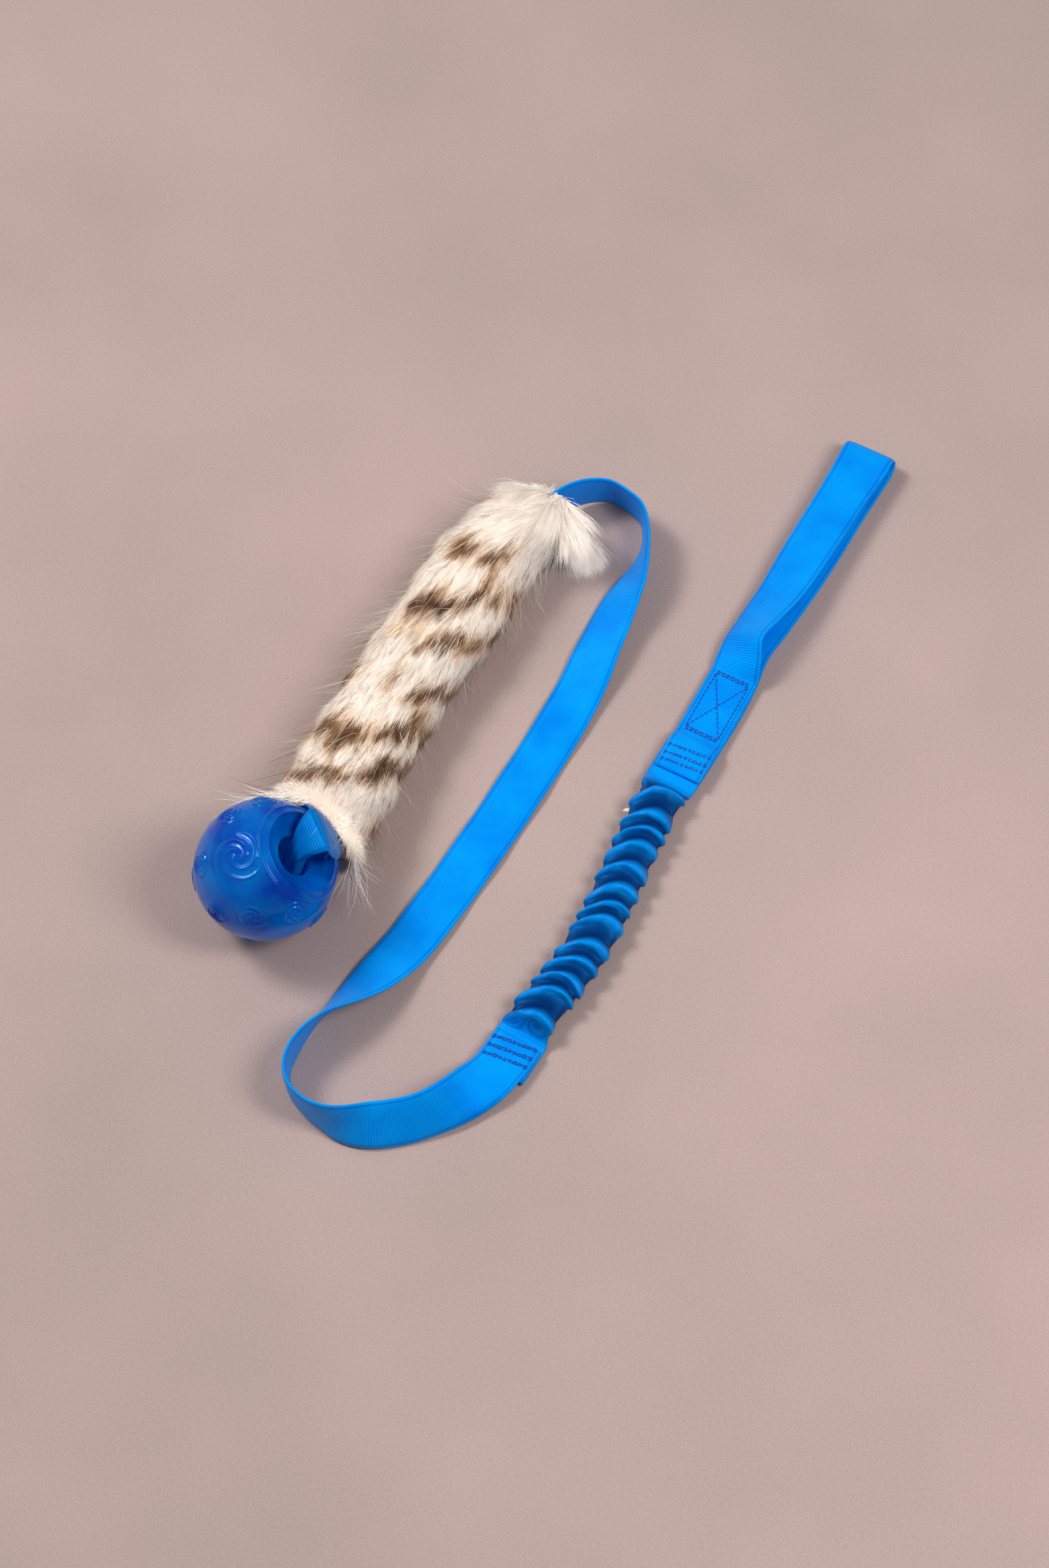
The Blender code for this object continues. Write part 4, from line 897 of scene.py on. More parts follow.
def fur_hair(name, roughness, felted=False):
    """Dyed natural fur: smooth keratin hairs, cream with brown-ticked patches, silky along their length."""
    found, tree, shader = begin(name)
    brown = add(tree, "Attribute", {}, attribute_name="coat_brown").outputs["Fac"]
    tone = add(tree, "Attribute", {}, attribute_name="hair_tone").outputs["Fac"]
    dye_and_shade = add(tree, "ValToRGB", {"Fac": brown}, COAT_STOPS).outputs["Color"]
    # Partly the hairs' own unevenness, partly painted shade: a lower tone darkens a hair towards the warm tan
    # of shaded fur
    shade = add(tree, "ValToRGB", {"Fac": tone}, [(0.0, "D8BEA6"), (1.0, "FFFFFF")]).outputs["Color"]
    both = {"Factor": 1.0, "A": dye_and_shade, "B": shade}
    toned = add(tree, "Mix", both, data_type="RGBA", blend_type="MULTIPLY").outputs["Result"]
    surface = {
        "Base Color": toned,
        "Roughness": roughness,
        "Specular IOR Level": 0.5,
        "Sheen Weight": 0.5,
        "Sheen Roughness": 0.4,
        "Sheen Tint": linear("FFF1DF"),
    }
    fill(tree, shader, surface)
    if felted:
        # Matted fibres, drawn 0.5 mm wide and 3.1 mm long so that they show
        place = add(tree, "TexCoord", {}).outputs["Object"]
        fibre = (OBJECT_SPAN / 0.5, OBJECT_SPAN / 3.125, OBJECT_SPAN / 0.5)
        drawn = add(tree, "VectorMath", {0: place, 1: fibre}, operation="MULTIPLY").outputs[0]
        fibres = add(tree, "TexNoise", {"Vector": drawn, "Scale": 1.0, "Detail": 3.0}).outputs["Fac"]
        bump = add(tree, "Bump", {"Height": fibres, "Strength": 0.9, "Distance": 0.0008})
        fill(tree, shader, {"Normal": bump.outputs[0]})
    return found


def soft_rubber(clearness):
    """Injection-moulded TPR: deep blue, cloudy but clear enough to show the knot, and wet-looking."""
    found, tree, shader = begin("soft_rubber")
    place = add(tree, "TexCoord", {}).outputs["Object"]
    # Clouds of 22 mm in the rubber, and a dimpled skin with 3.1 mm between dimples
    clouds = {"Vector": place, "Scale": OBJECT_SPAN / 22.2, "Detail": 4.0}
    cloud = add(tree, "TexNoise", clouds).outputs["Fac"]
    dye_and_shade = add(tree, "ValToRGB", {"Fac": cloud}, [(0.34, "0058DC"), (0.66, "00A0FF")]).outputs["Color"]
    dimples = {"Vector": place, "Scale": OBJECT_SPAN / 3.125, "Detail": 2.0}
    dimple = add(tree, "TexNoise", dimples).outputs["Fac"]
    bump = add(tree, "Bump", {"Height": dimple, "Strength": 0.04, "Distance": 0.0003})
    surface = {
        "Base Color": dye_and_shade,
        "Normal": bump.outputs[0],
        "Roughness": 0.04,
        "IOR": 1.46,
        "Transmission Weight": clearness,
        "Specular Tint": linear("90C8FF"),
        "Subsurface Weight": 0.25,
        "Subsurface Radius": (0.0005, 0.0030, 0.0100),
        "Subsurface Scale": 1.0,
    }
    fill(tree, shader, surface)
    return found


def floor_paper(tint):
    """Matt studio backdrop paper: a warm grey with a fine felt grain and very faint clouds."""
    found, tree, shader = begin("backdrop_paper")
    place = add(tree, "TexCoord", {}).outputs["Object"]
    felt = {"Vector": place, "Scale": OBJECT_SPAN / 1.11, "Detail": 2.0}
    grain = add(tree, "TexNoise", felt).outputs["Fac"]
    faint = {"Vector": place, "Scale": OBJECT_SPAN / 143, "Detail": 4.0}
    clouds = add(tree, "TexNoise", faint).outputs["Fac"]
    both = add(tree, "Math", {0: clouds, 1: 0.9, 2: grain}, operation="MULTIPLY_ADD").outputs[0]
    ends = {"Value": both, "From Min": 0.5, "From Max": 1.4, "To Min": 0.84, "To Max": 1.16}
    shade = add(tree, "MapRange", ends).outputs[0]
    toned = add(tree, "VectorMath", {0: tuple(tint), "Scale": shade}, operation="SCALE").outputs[0]
    bump = add(tree, "Bump", {"Height": grain, "Strength": 0.15, "Distance": 0.0003})
    fill(tree, shader, {"Base Color": toned, "Normal": bump.outputs[0], "Roughness": 0.9})
    return found


# Shapes shared by several pieces


def layer_height(y):
    """Middle height of the loop's upper layer where it is sewn down."""
    on_cover = 1.5 * WEB_THICKNESS + 2 * SEAT_GAP + COVER_FLAT[1]
    on_layer = 1.5 * WEB_THICKNESS + SEAT_GAP
    return mixed(on_cover, on_layer, eased((y - LOOP_STACK_END) / (LOOP_SLOPE_END - LOOP_STACK_END)))


def loop_frames(step):
    """The hand loop's webbing: its lower layer, the far fold, the raised layer and the sewn end."""
    at = [row[0] for row in LOOP_LOWER_SHIFTS]
    end = LOOP_FAR_END - LOOP_FOLD_RADIUS - WEB_THICKNESS / 2
    count = round((end - LOOP_NEAR_END) / step)
    lower = []
    for k in range(count + 1):
        y = mixed(LOOP_NEAR_END, end, k / count)
        lower.append((LOOP_X + hermite(LOOP_LOWER_SHIFTS, at, min(y, at[-1]))[1], y, WEB_THICKNESS / 2, 0))
    reach = LOOP_FAR_END - LOOP_BOX_TOP
    base = layer_height(LOOP_BOX_TOP)
    shaped = []
    for along, rise, roll, shift in LOOP_UPPER_SHARES:
        height = base + (LOOP_RISE - base) * rise
        shaped.append((LOOP_X + shift * WEB_WIDTH, LOOP_BOX_TOP + along * reach, height, roll))
    upper = smooth_rows(shaped, round(LOOP_UPPER_SHARES[-1][0] * reach / step))
    first, last = lower[-1], upper[-1]
    middle, half = (first[2] + last[2]) / 2, (last[2] - first[2]) / 2
    out = LOOP_FAR_END - WEB_THICKNESS / 2 - first[1]
    fold = []
    for k in range(1, LOOP_FOLD_STEPS):
        share = k / LOOP_FOLD_STEPS
        angle = math.pi * (share - 0.5)
        x, y = mixed(first[0], last[0], share), first[1] + out * math.cos(angle)
        fold.append((x, y, middle + half * math.sin(angle), 0))
    sewn = []
    count = round((LOOP_BOX_TOP - LOOP_NEAR_END) / step)
    for k in range(count):
        y = mixed(LOOP_NEAR_END, LOOP_BOX_TOP, k / count)
        sewn.append((LOOP_X, y, layer_height(y), 0))
    rows = lower + fold + upper[::-1] + sewn[::-1]
    centres = [Vector(row[:3]) for row in rows]
    frames = []
    for centre, way, row in zip(centres, directions(centres), rows):
        roll = math.radians(row[3])
        side = Vector((1, 0, 0))
        side = (side - way * side.dot(way)).normalized()
        over = side.cross(way)
        cross = side * math.cos(roll) + (UP if roll else over) * math.sin(roll)
        cross = (cross - way * cross.dot(way)).normalized()
        spread = eased((centre.y - LOOP_WIDEN_FROM) / (LOOP_FAR_END - LOOP_WIDEN_FROM))
        width = WEB_WIDTH * mixed(1, LOOP_FOLD_WIDTH_SHARE, spread)
        pressed = sum(math.exp(-(((centre.y - place) / MM) ** 2)) for place in UPPER_ROW_PLACES)
        over_cover = centre.z > WEB_THICKNESS
        thickness = WEB_THICKNESS * mixed(1, TACK_PRESS, min(pressed, 1) * over_cover)
        frames.append((centre, cross, cross.cross(way), width, thickness, 0.0))
    return frames


def knot_path(count):
    """The stopper knot's centreline, a trefoil in the hollow of the ball, and the way it faces."""
    down = Vector(KNOT_PLACE_SHARES).normalized()
    side = down.cross(Vector((0, 1, 0))).normalized()
    turn = Matrix.Rotation(math.radians(KNOT_TURN_DEGREES), 3, "Z")
    basis = Matrix((side, down.cross(side), down)).transposed() @ turn
    hollow = BALL_RADIUS - BALL_WALL
    middle = BALL_CENTRE + Vector(KNOT_PLACE_SHARES) * hollow
    gap = math.radians(KNOT_GAP_DEGREES)
    points = []
    for k in range(count + 1):
        t = mixed(math.pi + gap, 3 * math.pi - gap, k / count)
        x, y = math.sin(t) + 2 * math.sin(2 * t), math.cos(t) - 2 * math.cos(2 * t)
        local = Vector((x, y, -KNOT_RISE_SHARE * math.sin(3 * t)))
        points.append(middle + basis @ (local * KNOT_SIZE_SHARE * hollow))
    return points, down


def fold_frames(count):
    """The webbing that folds over the ball's rim and narrows into its hole, up to the knot."""
    centres = []
    path = smooth_rows(FOLD_SHARES, count)
    for row in path:
        offset = Vector(row[:3]) * BALL_RADIUS
        if row[5] > 0:
            held = offset.normalized() * max(offset.length, BALL_RADIUS + FOLD_LIFT)
            offset = mixed(offset, held, eased(2 * row[5]))
        centres.append(BALL_CENTRE + offset)
    knot, _ = knot_path(KNOT_STEPS)
    into_knot = (knot[-2] - knot[-1]).normalized()
    centres[-1] = knot[-1] - into_knot * SEAT_GAP
    ways = directions(centres)
    ways[-1] = into_knot
    frames = []
    for centre, way, row in zip(centres, ways, path):
        width, thickness, hug, turn = row[3:]
        side = Vector((math.cos(math.radians(turn)), math.sin(math.radians(turn)), 0))
        level = (side - way * side.dot(way)).normalized()
        hugging = (centre - BALL_CENTRE).cross(way).normalized()
        cross = mixed(level, hugging, hug).normalized()
        cup = hug / (2 * BALL_RADIUS)
        frames.append((centre, cross, way.cross(cross), WEB_WIDTH * width, WEB_THICKNESS * thickness, cup))
    return frames


def strand_rings(points, down, width, height):
    """Rings of the bunched strap along the knot's path, with lengthwise creases."""
    rings = []
    for point, way in zip(points, directions(points)):
        cross = way.cross(down).normalized()
        over = cross.cross(way)
        ring = []
        for k in range(KNOT_SIDES):
            angle = 2 * math.pi * k / KNOT_SIDES
            crease = 1 + 0.09 * math.sin(5 * angle) + 0.05 * math.sin(9 * angle + 1)
            out = cross * math.cos(angle) * width + over * math.sin(angle) * height
            ring.append(point + out * crease / 2)
        rings.append(ring)
    return rings


def bungee_line(count):
    """Distance along the bungee, centre, cross direction, way, and how full the cover is there."""
    at = distances(BUNGEE_ROUTE, 2)
    length = at[-1]
    found = []
    for k in range(count + 1):
        along = length * k / count
        a = hermite(BUNGEE_ROUTE, at, max(along - MM, 0))
        b = hermite(BUNGEE_ROUTE, at, min(along + MM, length))
        x, y = hermite(BUNGEE_ROUTE, at, along)
        way = Vector((b[0] - a[0], b[1] - a[1], 0)).normalized()
        swell = eased((min(along, length - along) - COVER_FLAT_LENGTH) / COVER_SWELL_LENGTH)
        under = WEB_THICKNESS + SEAT_GAP if along > length / 2 else FLOOR_GAP
        z = mixed(under + COVER_FLAT[1] / 2, FLOOR_GAP + COVER_HEIGHTS[1] / 2, swell)
        found.append((along, Vector((x, y, z)), way.cross(UP), way, swell))
    return found


def cover_rows(settings):
    """Rings of the ruched cover with their places on the pattern and depths for its painted shade, and rings
    of the elastic.
    """
    line = bungee_line(COVER_STEPS)
    length = line[-1][0]
    pitch = (length - 2 * COVER_FLAT_LENGTH) / settings.pleats
    rng = np.random.default_rng(6)
    full = rng.uniform(*COVER_FULL_SHARES, settings.pleats + 8)
    tilt = rng.uniform(-COVER_TILT, COVER_TILT, settings.pleats + 8)
    outer, inner, coords, inner_coords, depths = [], [], [], [], []
    unrolled = 0.0
    for along, centre, cross, way, swell in line:
        unrolled += (1 + (COVER_SPARE - 1) * swell) * length / COVER_STEPS / MM
        power = mixed(4.0, 2.0, swell)
        ring, places, hollow, deep = [], [], [], []
        for i in range(COVER_SIDES + 1):
            angle = 2 * math.pi * i / COVER_SIDES
            c, s = math.cos(angle), math.sin(angle)
            u = math.copysign(abs(c) ** (2 / power), c)
            v = math.copysign(abs(s) ** (2 / power), s)
            bow = COVER_BOW * (1 - u * u) - COVER_SKEW * u
            phase = (along - COVER_FLAT_LENGTH - bow * swell) / pitch
            # Uneven pitch, each pleat's own tilt and fullness, small creases on it, and a second ripple
            phase += 0.15 * math.sin(1.7 * phase + 1) + 0.07 * math.sin(2.9 * phase)
            pleat = int(min(max(math.floor(phase), -3), settings.pleats + 3)) + 3
            phase += tilt[pleat] * u * math.sin(math.pi * (phase % 1)) ** 2
            wave = math.sin(math.pi * (phase % 1) ** COVER_PEAK_POWER) ** COVER_CREST_POWER
            ripple = wave * full[pleat] * (1 + COVER_CREASE * math.sin(9 * u + 2.4 * pleat) * wave)
            second = math.sin(4 * math.pi * phase + 3 * u + pleat)
            ripple += COVER_RIPPLE * second * math.sin(math.pi * (phase % 1)) ** 2
            wide = mixed(COVER_FLAT[0], mixed(settings.valley, settings.crest, ripple), swell)
            tall = mixed(COVER_FLAT[1], mixed(COVER_HEIGHTS[0], COVER_HEIGHTS[1], ripple), swell)
            if i < COVER_SIDES:
                point = centre + cross * u * wide / 2 + UP * v * tall / 2
                point -= way * COVER_LEAN * ripple * swell
                point.z = max(point.z, FLOOR_GAP)
                ring.append(point)
                bore_wide = mixed(COVER_FLAT_BORE[0], COVER_BORE[0], swell)
                bore_tall = mixed(COVER_FLAT_BORE[1], COVER_BORE[1], swell)
                hollow.append(centre + cross * u * bore_wide / 2 + UP * v * bore_tall / 2)
                # How deep in its gather each point lies: the cover's material darkens it there as painted
                # shade
                deep.append((1 - wave) ** COVER_DEPTH_POWER * swell)
            around = i / COVER_SIDES * COVER_ROUND_SHARE * COVER_FLAT[0] / MM
            places.append((around, unrolled - COVER_SPARE * bow / MM * swell))
        outer.append(ring)
        depths.append(deep)
        coords.append(places)
        inner.append(hollow)
        inner_coords.append([(place, unrolled) for place, _ in places])
    core = []
    for _, centre, cross, _, swell in line[::3]:
        wide = mixed(ELASTIC_FLAT[0], ELASTIC_DIAMETER, swell)
        tall = mixed(ELASTIC_FLAT[1], ELASTIC_DIAMETER, swell)
        core.append(oval(centre, cross, UP, wide, tall, ELASTIC_SIDES, mixed(4.0, 2.0, swell)))
    return outer + inner[::-1], coords + inner_coords[::-1], depths, core


def spiral_lift(ways):
    """How far the raised lines stand up, from 0 to 1, in these directions from the ball's centre."""
    edge = np.arccos(np.clip(ways[..., 2], -1, 1)) - math.radians(RING_DEGREES)
    lift = np.exp(-((edge * BALL_RADIUS / SPIRAL_HALF_WIDTH) ** 2))
    turned = math.radians(SPIRAL_TURN_DEGREES)
    third = 2 * math.pi / 3
    for polar, azimuth, radius in SPIRALS:
        turn = Matrix.Rotation(math.radians(azimuth), 3, "Z") @ Matrix.Rotation(math.radians(polar), 3, "Y")
        local = ways @ np.array(turn)
        reach = np.arccos(np.clip(local[..., 2], -1, 1)) * BALL_RADIUS
        angle = np.arctan2(local[..., 1], local[..., 0])
        share = (reach / radius - SPIRAL_START) / (1 - SPIRAL_START)
        slope = (1 - SPIRAL_START) * radius / turned
        off = (angle - share * turned + third / 2) % third - third / 2
        across = np.abs(off) * slope * reach / np.hypot(reach, slope)
        fade = np.clip(share * SPIRAL_FADE + 0.5, 0, 1) * np.clip((1 - share) * SPIRAL_FADE + 0.5, 0, 1)
        lift = np.maximum(lift, np.exp(-((across / SPIRAL_HALF_WIDTH) ** 2)) * fade)
    return lift


def ball_rows(ridge):
    """Rings of the ball from its outer pole over the lip, down the dish and hole, and round the inside."""
    edge = math.radians(DISH_EDGE_DEGREES)
    sphere = []
    for k in range(BALL_OUTSIDE_RINGS):
        angle = mixed(math.pi - POLE_ANGLE, edge, k / (BALL_OUTSIDE_RINGS - 1))
        sphere.append((BALL_RADIUS * math.sin(angle), BALL_RADIUS * math.cos(angle)))
    rim, top = sphere[-1]
    lip = DISH_LIP
    rest = [(rim - 0.5 * lip, top + 0.85 * lip), (rim - lip, top + lip)]
    rest += [(rim - 1.5 * lip, top + 0.5 * lip), (rim - 2 * lip, top - 0.5 * lip)]
    floor = top - DISH_DEPTH
    bowl = rim - 3 * lip
    for k in range(DISH_STEPS + 1):
        share = 1 - k / DISH_STEPS
        rest.append((mixed(HOLE_RADIUS + lip, bowl, share), floor + (DISH_DEPTH - lip) * share**2))
    under = floor - BALL_WALL * DISH_WALL_SHARE
    rest += [(HOLE_RADIUS + 0.3 * lip, floor - 0.3 * lip), (HOLE_RADIUS, floor - lip)]
    rest += [(HOLE_RADIUS, under + lip), (HOLE_RADIUS + 0.3 * lip, under + 0.3 * lip)]
    rest.append((HOLE_RADIUS + lip, under))
    inside = BALL_RADIUS - BALL_WALL
    inner_edge = math.asin(rim / inside)
    bend, drop = DISH_BEND_SHARES
    rest.append((mixed(HOLE_RADIUS, rim, bend), under + (inside * math.cos(inner_edge) - under) * drop))
    for k in range(BALL_INSIDE_RINGS):
        angle = mixed(inner_edge, math.pi - POLE_ANGLE, k / (BALL_INSIDE_RINGS - 1))
        rest.append((inside * math.sin(angle), inside * math.cos(angle)))
    profile = np.array(sphere + rest)
    angles = np.arange(BALL_SEGMENTS) * 2 * math.pi / BALL_SEGMENTS
    across, up = profile[:, :1], profile[:, 1:]
    local = np.stack([across * np.cos(angles), across * np.sin(angles), up * np.ones_like(angles)], axis=-1)
    skin = local[:BALL_OUTSIDE_RINGS]
    raised = skin / BALL_RADIUS * (spiral_lift(skin / BALL_RADIUS) * ridge)[..., None]
    local[:BALL_OUTSIDE_RINGS] = skin + raised
    side = (Vector((0, 1, 0)) - HOLE_AXIS * HOLE_AXIS.y).normalized()
    turn = np.array(Matrix((side, HOLE_AXIS.cross(side), HOLE_AXIS)).transposed())
    return local @ turn.T + np.array(BALL_CENTRE)


# The sleeve's surfaces, as arrays of rings from the mouth at the ball to the neck


def sleeve_frames():
    """Centre, cross direction, normal and share of the length, from the mouth to the neck."""
    centres, crosses, _ = strap_frames(SLEEVE_ROUTE, -1, SLEEVE_STEP)
    mouth = centres[0] + Vector(SLEEVE_MOUTH_SHIFT)
    lead = [mixed(mouth, centres[0], k / MOUTH_STEPS) for k in range(MOUTH_STEPS)]
    points = lead + centres
    frames = []
    for k, (point, way) in enumerate(zip(points, directions(points))):
        cross = crosses[max(k - MOUTH_STEPS, 0)]
        cross = (cross - way * cross.dot(way)).normalized()
        frames.append((point, cross, way.cross(cross), k / (len(points) - 1)))
    return frames


def fur_oval(centre, width, height, inset, floor):
    """A ring of the coat, pressed flat on the ground."""
    middle = Vector((centre.x, centre.y, max(centre.z, height / 2 - PILE_FLAT_DEPTH)))
    left = Vector((-1, 0, 0))
    ring = oval(middle, left, UP, width - 2 * inset, height - 2 * inset, SLEEVE_SIDES, FUR_POWER)
    return [(p.x, p.y, max(p.z, floor)) for p in ring]


def coat_rings(inset):
    """The pressed coat's outline, or a surface this far inside it."""
    at = [row[0] for row in PILE_SHAPE_SHARES]
    rings = []
    for centre, _, _, share in sleeve_frames():
        _, wide, high, shift = hermite(PILE_SHAPE_SHARES, at, share)
        lump = 1 + PILE_LUMP_SHARE * math.sin(2 * math.pi * PILE_LUMPS * share)
        width, height = PILE_SIZE[0] * wide * lump, PILE_SIZE[1] * high * lump
        centre = centre + Vector((shift * PILE_SIZE[0], 0, 0))
        rings.append(fur_oval(centre, width, height, inset, inset + FLOOR_GAP))
    return np.array(rings)


def hide_rings(extra):
    """The sleeve's bore round the strap, or a surface this far outside it."""
    rings = []
    for centre, cross, normal, share in sleeve_frames():
        open_share = eased(1 - share / MOUTH_REACH)
        width = mixed(HIDE_BORE[0], PILE_SIZE[0] * MOUTH_SHARES[0], open_share) + 2 * extra
        height = mixed(HIDE_BORE[1], PILE_SIZE[1] * MOUTH_SHARES[1], open_share) + 2 * extra
        ring = oval(centre, cross, normal, width, height, SLEEVE_SIDES, HIDE_POWER)
        rings.append([tuple(p) for p in ring])
    return np.array(rings)


def crossing(values, limit):
    """Where a column of distances first reaches the limit, as a row number with its fraction."""
    i = int(np.argmax(values >= limit))
    return 0.0 if i == 0 else i - 1 + (limit - values[i - 1]) / (values[i] - values[i - 1])


def trimmed(rings, near, far, count):
    """The part of the rings between two distances from the ball's centre, each column by itself."""
    away = np.linalg.norm(rings - np.array(BALL_CENTRE), axis=2)
    found = np.empty((count, rings.shape[1], 3))
    for j in range(rings.shape[1]):
        end = crossing(away[:, j], far) if far else len(rings) - 1
        at = np.linspace(crossing(away[:, j], near), end, count)
        i = np.minimum(at.astype(int), len(rings) - 2)
        t = (at - i)[:, None]
        found[:, j] = rings[i, j] * (1 - t) + rings[i + 1, j] * t
    return found


def ruff_rings():
    """The collar of fur that flares round the strap beyond the neck."""
    neck, cross, normal, _ = sleeve_frames()[-1]
    way = cross.cross(normal)
    _, wide, high, _ = PILE_SHAPE_SHARES[-1]
    rings = []
    for k in range(RUFF_STEPS + 1):
        share = k / RUFF_STEPS
        flare = mixed(1, RUFF_FLARE_SHARE, share)
        centre = neck + way * RUFF_LENGTH * share
        width, height = PILE_SIZE[0] * wide * flare, PILE_SIZE[1] * high * flare
        rings.append(fur_oval(centre, width, height, RUFF_ROOT_DEPTH, FLOOR_GAP))
    return np.array(rings), np.array(way)


def brown_at(y, turn):
    """How brown the coat is at a place: y in mm and degrees from the top towards the left."""
    rows = list(PATCHES)
    for k, row in enumerate(HIDDEN_PATCH_ROWS):
        for i, place in enumerate(HIDDEN_PATCH_TURNS):
            rows.append((row + (5 if (i + k) % 2 else -3), place, 4.5, 6, -0.5, 0.85))
    found = np.zeros_like(y)
    for place, at, length, width, slant, dark in rows:
        across = ((turn - at + 180) % 360 - 180) * MM_PER_DEGREE
        along = y - place - slant * across
        reach = (along / length) ** 2 + (across / width) ** 2
        found = np.maximum(found, dark * np.exp(-((reach / PATCH_SPREAD) ** 1.5)))
    return found


# Hairs


def unit(vectors):
    """The same ways at length 1."""
    return vectors / np.maximum(np.linalg.norm(vectors, axis=-1, keepdims=True), 1e-9)


def on_rings(rings, i, j):
    """Points on the rings' surface at row i and column j, its outward normals, and the way to the mouth."""
    n, m, _ = rings.shape
    low = np.minimum(i.astype(int), n - 2)
    left = j.astype(int) % m
    right = (left + 1) % m
    s, t = (i - low)[:, None], (j - j.astype(int))[:, None]
    near = rings[low, left] * (1 - t) + rings[low, right] * t
    far = rings[low + 1, left] * (1 - t) + rings[low + 1, right] * t
    point = near * (1 - s) + far * s
    flow = unit(near - far)
    around = unit(rings[low, right] - rings[low, left])
    normal = unit(np.cross(around, flow))
    centre = rings[low].mean(axis=1)
    normal *= np.sign((normal * (point - centre)).sum(axis=1, keepdims=True))
    return point, normal, flow


def clear_of_ball(points, room):
    """Pushes points out of the ball."""
    centre = np.array(BALL_CENTRE)
    away = points - centre
    reach = np.linalg.norm(away, axis=-1, keepdims=True)
    return centre + away * np.maximum(1, (BALL_RADIUS + room) / np.maximum(reach, 1e-6))


def hair_points(roots, first, last, lengths):
    """Four points along each hair, which leaves along its first direction and bends to its last."""
    middle = unit(first * (1 - HAIR_BEND_SHARE) + last * HAIR_BEND_SHARE)
    root, belly, tip = HAIR_STEP_SHARES
    one = roots + first * (lengths * root)[:, None]
    two = one + middle * (lengths * belly)[:, None]
    three = two + last * (lengths * tip)[:, None]
    return np.stack([roots, one, two, three], axis=1)


def strands(name, points, normals, width, brown, tone, coords):
    """Hairs as thin tapering ribbons, shaded with the coat's roundness. points is hairs by four by three."""
    count = len(points)
    rng = np.random.default_rng(len(name) + count)
    way = unit(points[:, 1:] - points[:, :-1])
    way = np.concatenate([way[:, :1], way], axis=1)
    swing = rng.uniform(-HAIR_TWIST, HAIR_TWIST, (count, 1, 1))
    flat = unit(np.cross(way, normals[:, None]))
    side = unit(flat * np.cos(swing) + np.cross(flat, way) * np.sin(swing))
    half = (width / 2)[:, None, None] * np.array(HAIR_TAPER_SHARES)[None, :, None]
    left = points[:, :3] - side[:, :3] * half
    right = points[:, :3] + side[:, :3] * half
    pairs = [side_points[:, k] for k in range(3) for side_points in (left, right)]
    verts = np.stack([*pairs, points[:, 3]], axis=1)
    verts[..., 2] = np.maximum(verts[..., 2], FLOOR_GAP)
    face_way = np.cross(side[:, 1], way[:, 1])
    flip = (face_way * normals).sum(axis=1) < 0
    base = np.arange(count)[:, None] * 7
    order = np.array([0, 1, 3, 2, 2, 3, 5, 4, 4, 5, 6])
    turned = np.array([2, 3, 1, 0, 4, 5, 3, 2, 6, 5, 4])
    loops = base + np.where(flip[:, None], turned, order)
    sizes = np.tile([4, 4, 3], count)
    mesh = bpy.data.meshes.new(name)
    mesh.vertices.add(count * 7)
    mesh.vertices.foreach_set("co", verts.astype(np.float32).ravel())
    mesh.loops.add(count * 11)
    mesh.loops.foreach_set("vertex_index", loops.astype(np.int32).ravel())
    mesh.polygons.add(count * 3)
    mesh.polygons.foreach_set("loop_start", np.concatenate([[0], sizes.cumsum()[:-1]]).astype(np.int32))
    mesh.update(calc_edges=True)
    levels = [0, 0, 1, 1, 2, 2, 3]
    mark(mesh, "coat_brown", brown[:, levels])
    mark(mesh, "hair_tone", np.repeat(tone, 7))
    # Each hair's small place on the map OFBake: its root's place, spread a little by its own shape
    corners = loops.ravel()
    place = np.repeat(coords, 7, axis=0)[corners] + verts.reshape(-1, 3)[corners, :2] * 0.2
    lay_map(mesh, "OFBake", place)
    soft = unit(normals[:, None] - way * (normals[:, None] * way).sum(axis=2, keepdims=True))
    own = unit(np.cross(side, way))
    own *= np.sign((own * normals[:, None]).sum(axis=2, keepdims=True))
    shading = unit(soft * 0.85 + own * 0.25)[:, levels]
    mesh.shade_smooth()
    mesh.normals_split_custom_set_from_vertices(shading.reshape(-1, 3))
    return new_piece(name, mesh)


def tufts(roots_2d, cell, seed):
    """The nearest of a scatter of tufts for each hair, and each tuft's own number from 0 to 1."""
    rng = np.random.default_rng(seed)
    keys = np.floor(roots_2d / cell).astype(int)
    low = keys.min(axis=0) - 1
    shape = keys.max(axis=0) - low + 2
    jitter = rng.random((shape[0], shape[1], 2))
    best = np.full(len(roots_2d), np.inf)
    chosen = np.zeros((len(roots_2d), 2), int)
    for di in (-1, 0, 1):
        for dj in (-1, 0, 1):
            at = np.clip(keys - low + [di, dj], 0, shape - 1)
            centre = (at + low + jitter[at[:, 0], at[:, 1]]) * cell
            away = ((centre - roots_2d) ** 2).sum(axis=1)
            nearer = away < best
            best[nearer] = away[nearer]
            chosen[nearer] = at[nearer]
    tuft = chosen[:, 0] * shape[1] + chosen[:, 1]
    return tuft, rng.random(shape[0] * shape[1])[tuft]


def drawn_together(points, tuft, pull):
    """Draws each hair towards the middle of its tuft."""
    counts = np.maximum(np.bincount(tuft), 1)
    for level, share in ((1, 0.15), (2, 0.55), (3, 1.0)):
        total = np.stack([np.bincount(tuft, points[:, level, k]) for k in range(3)], axis=1)
        mean = (total / counts[:, None])[tuft]
        points[:, level] += (mean - points[:, level]) * (pull * share)[:, None]


def coat_places(points, column):
    """y in mm and degrees from the top towards the left."""
    turn = 90 - 360 * (column + 0.5) / SLEEVE_SIDES
    return points[:, 1] / MM, (turn + 180) % 360 - 180


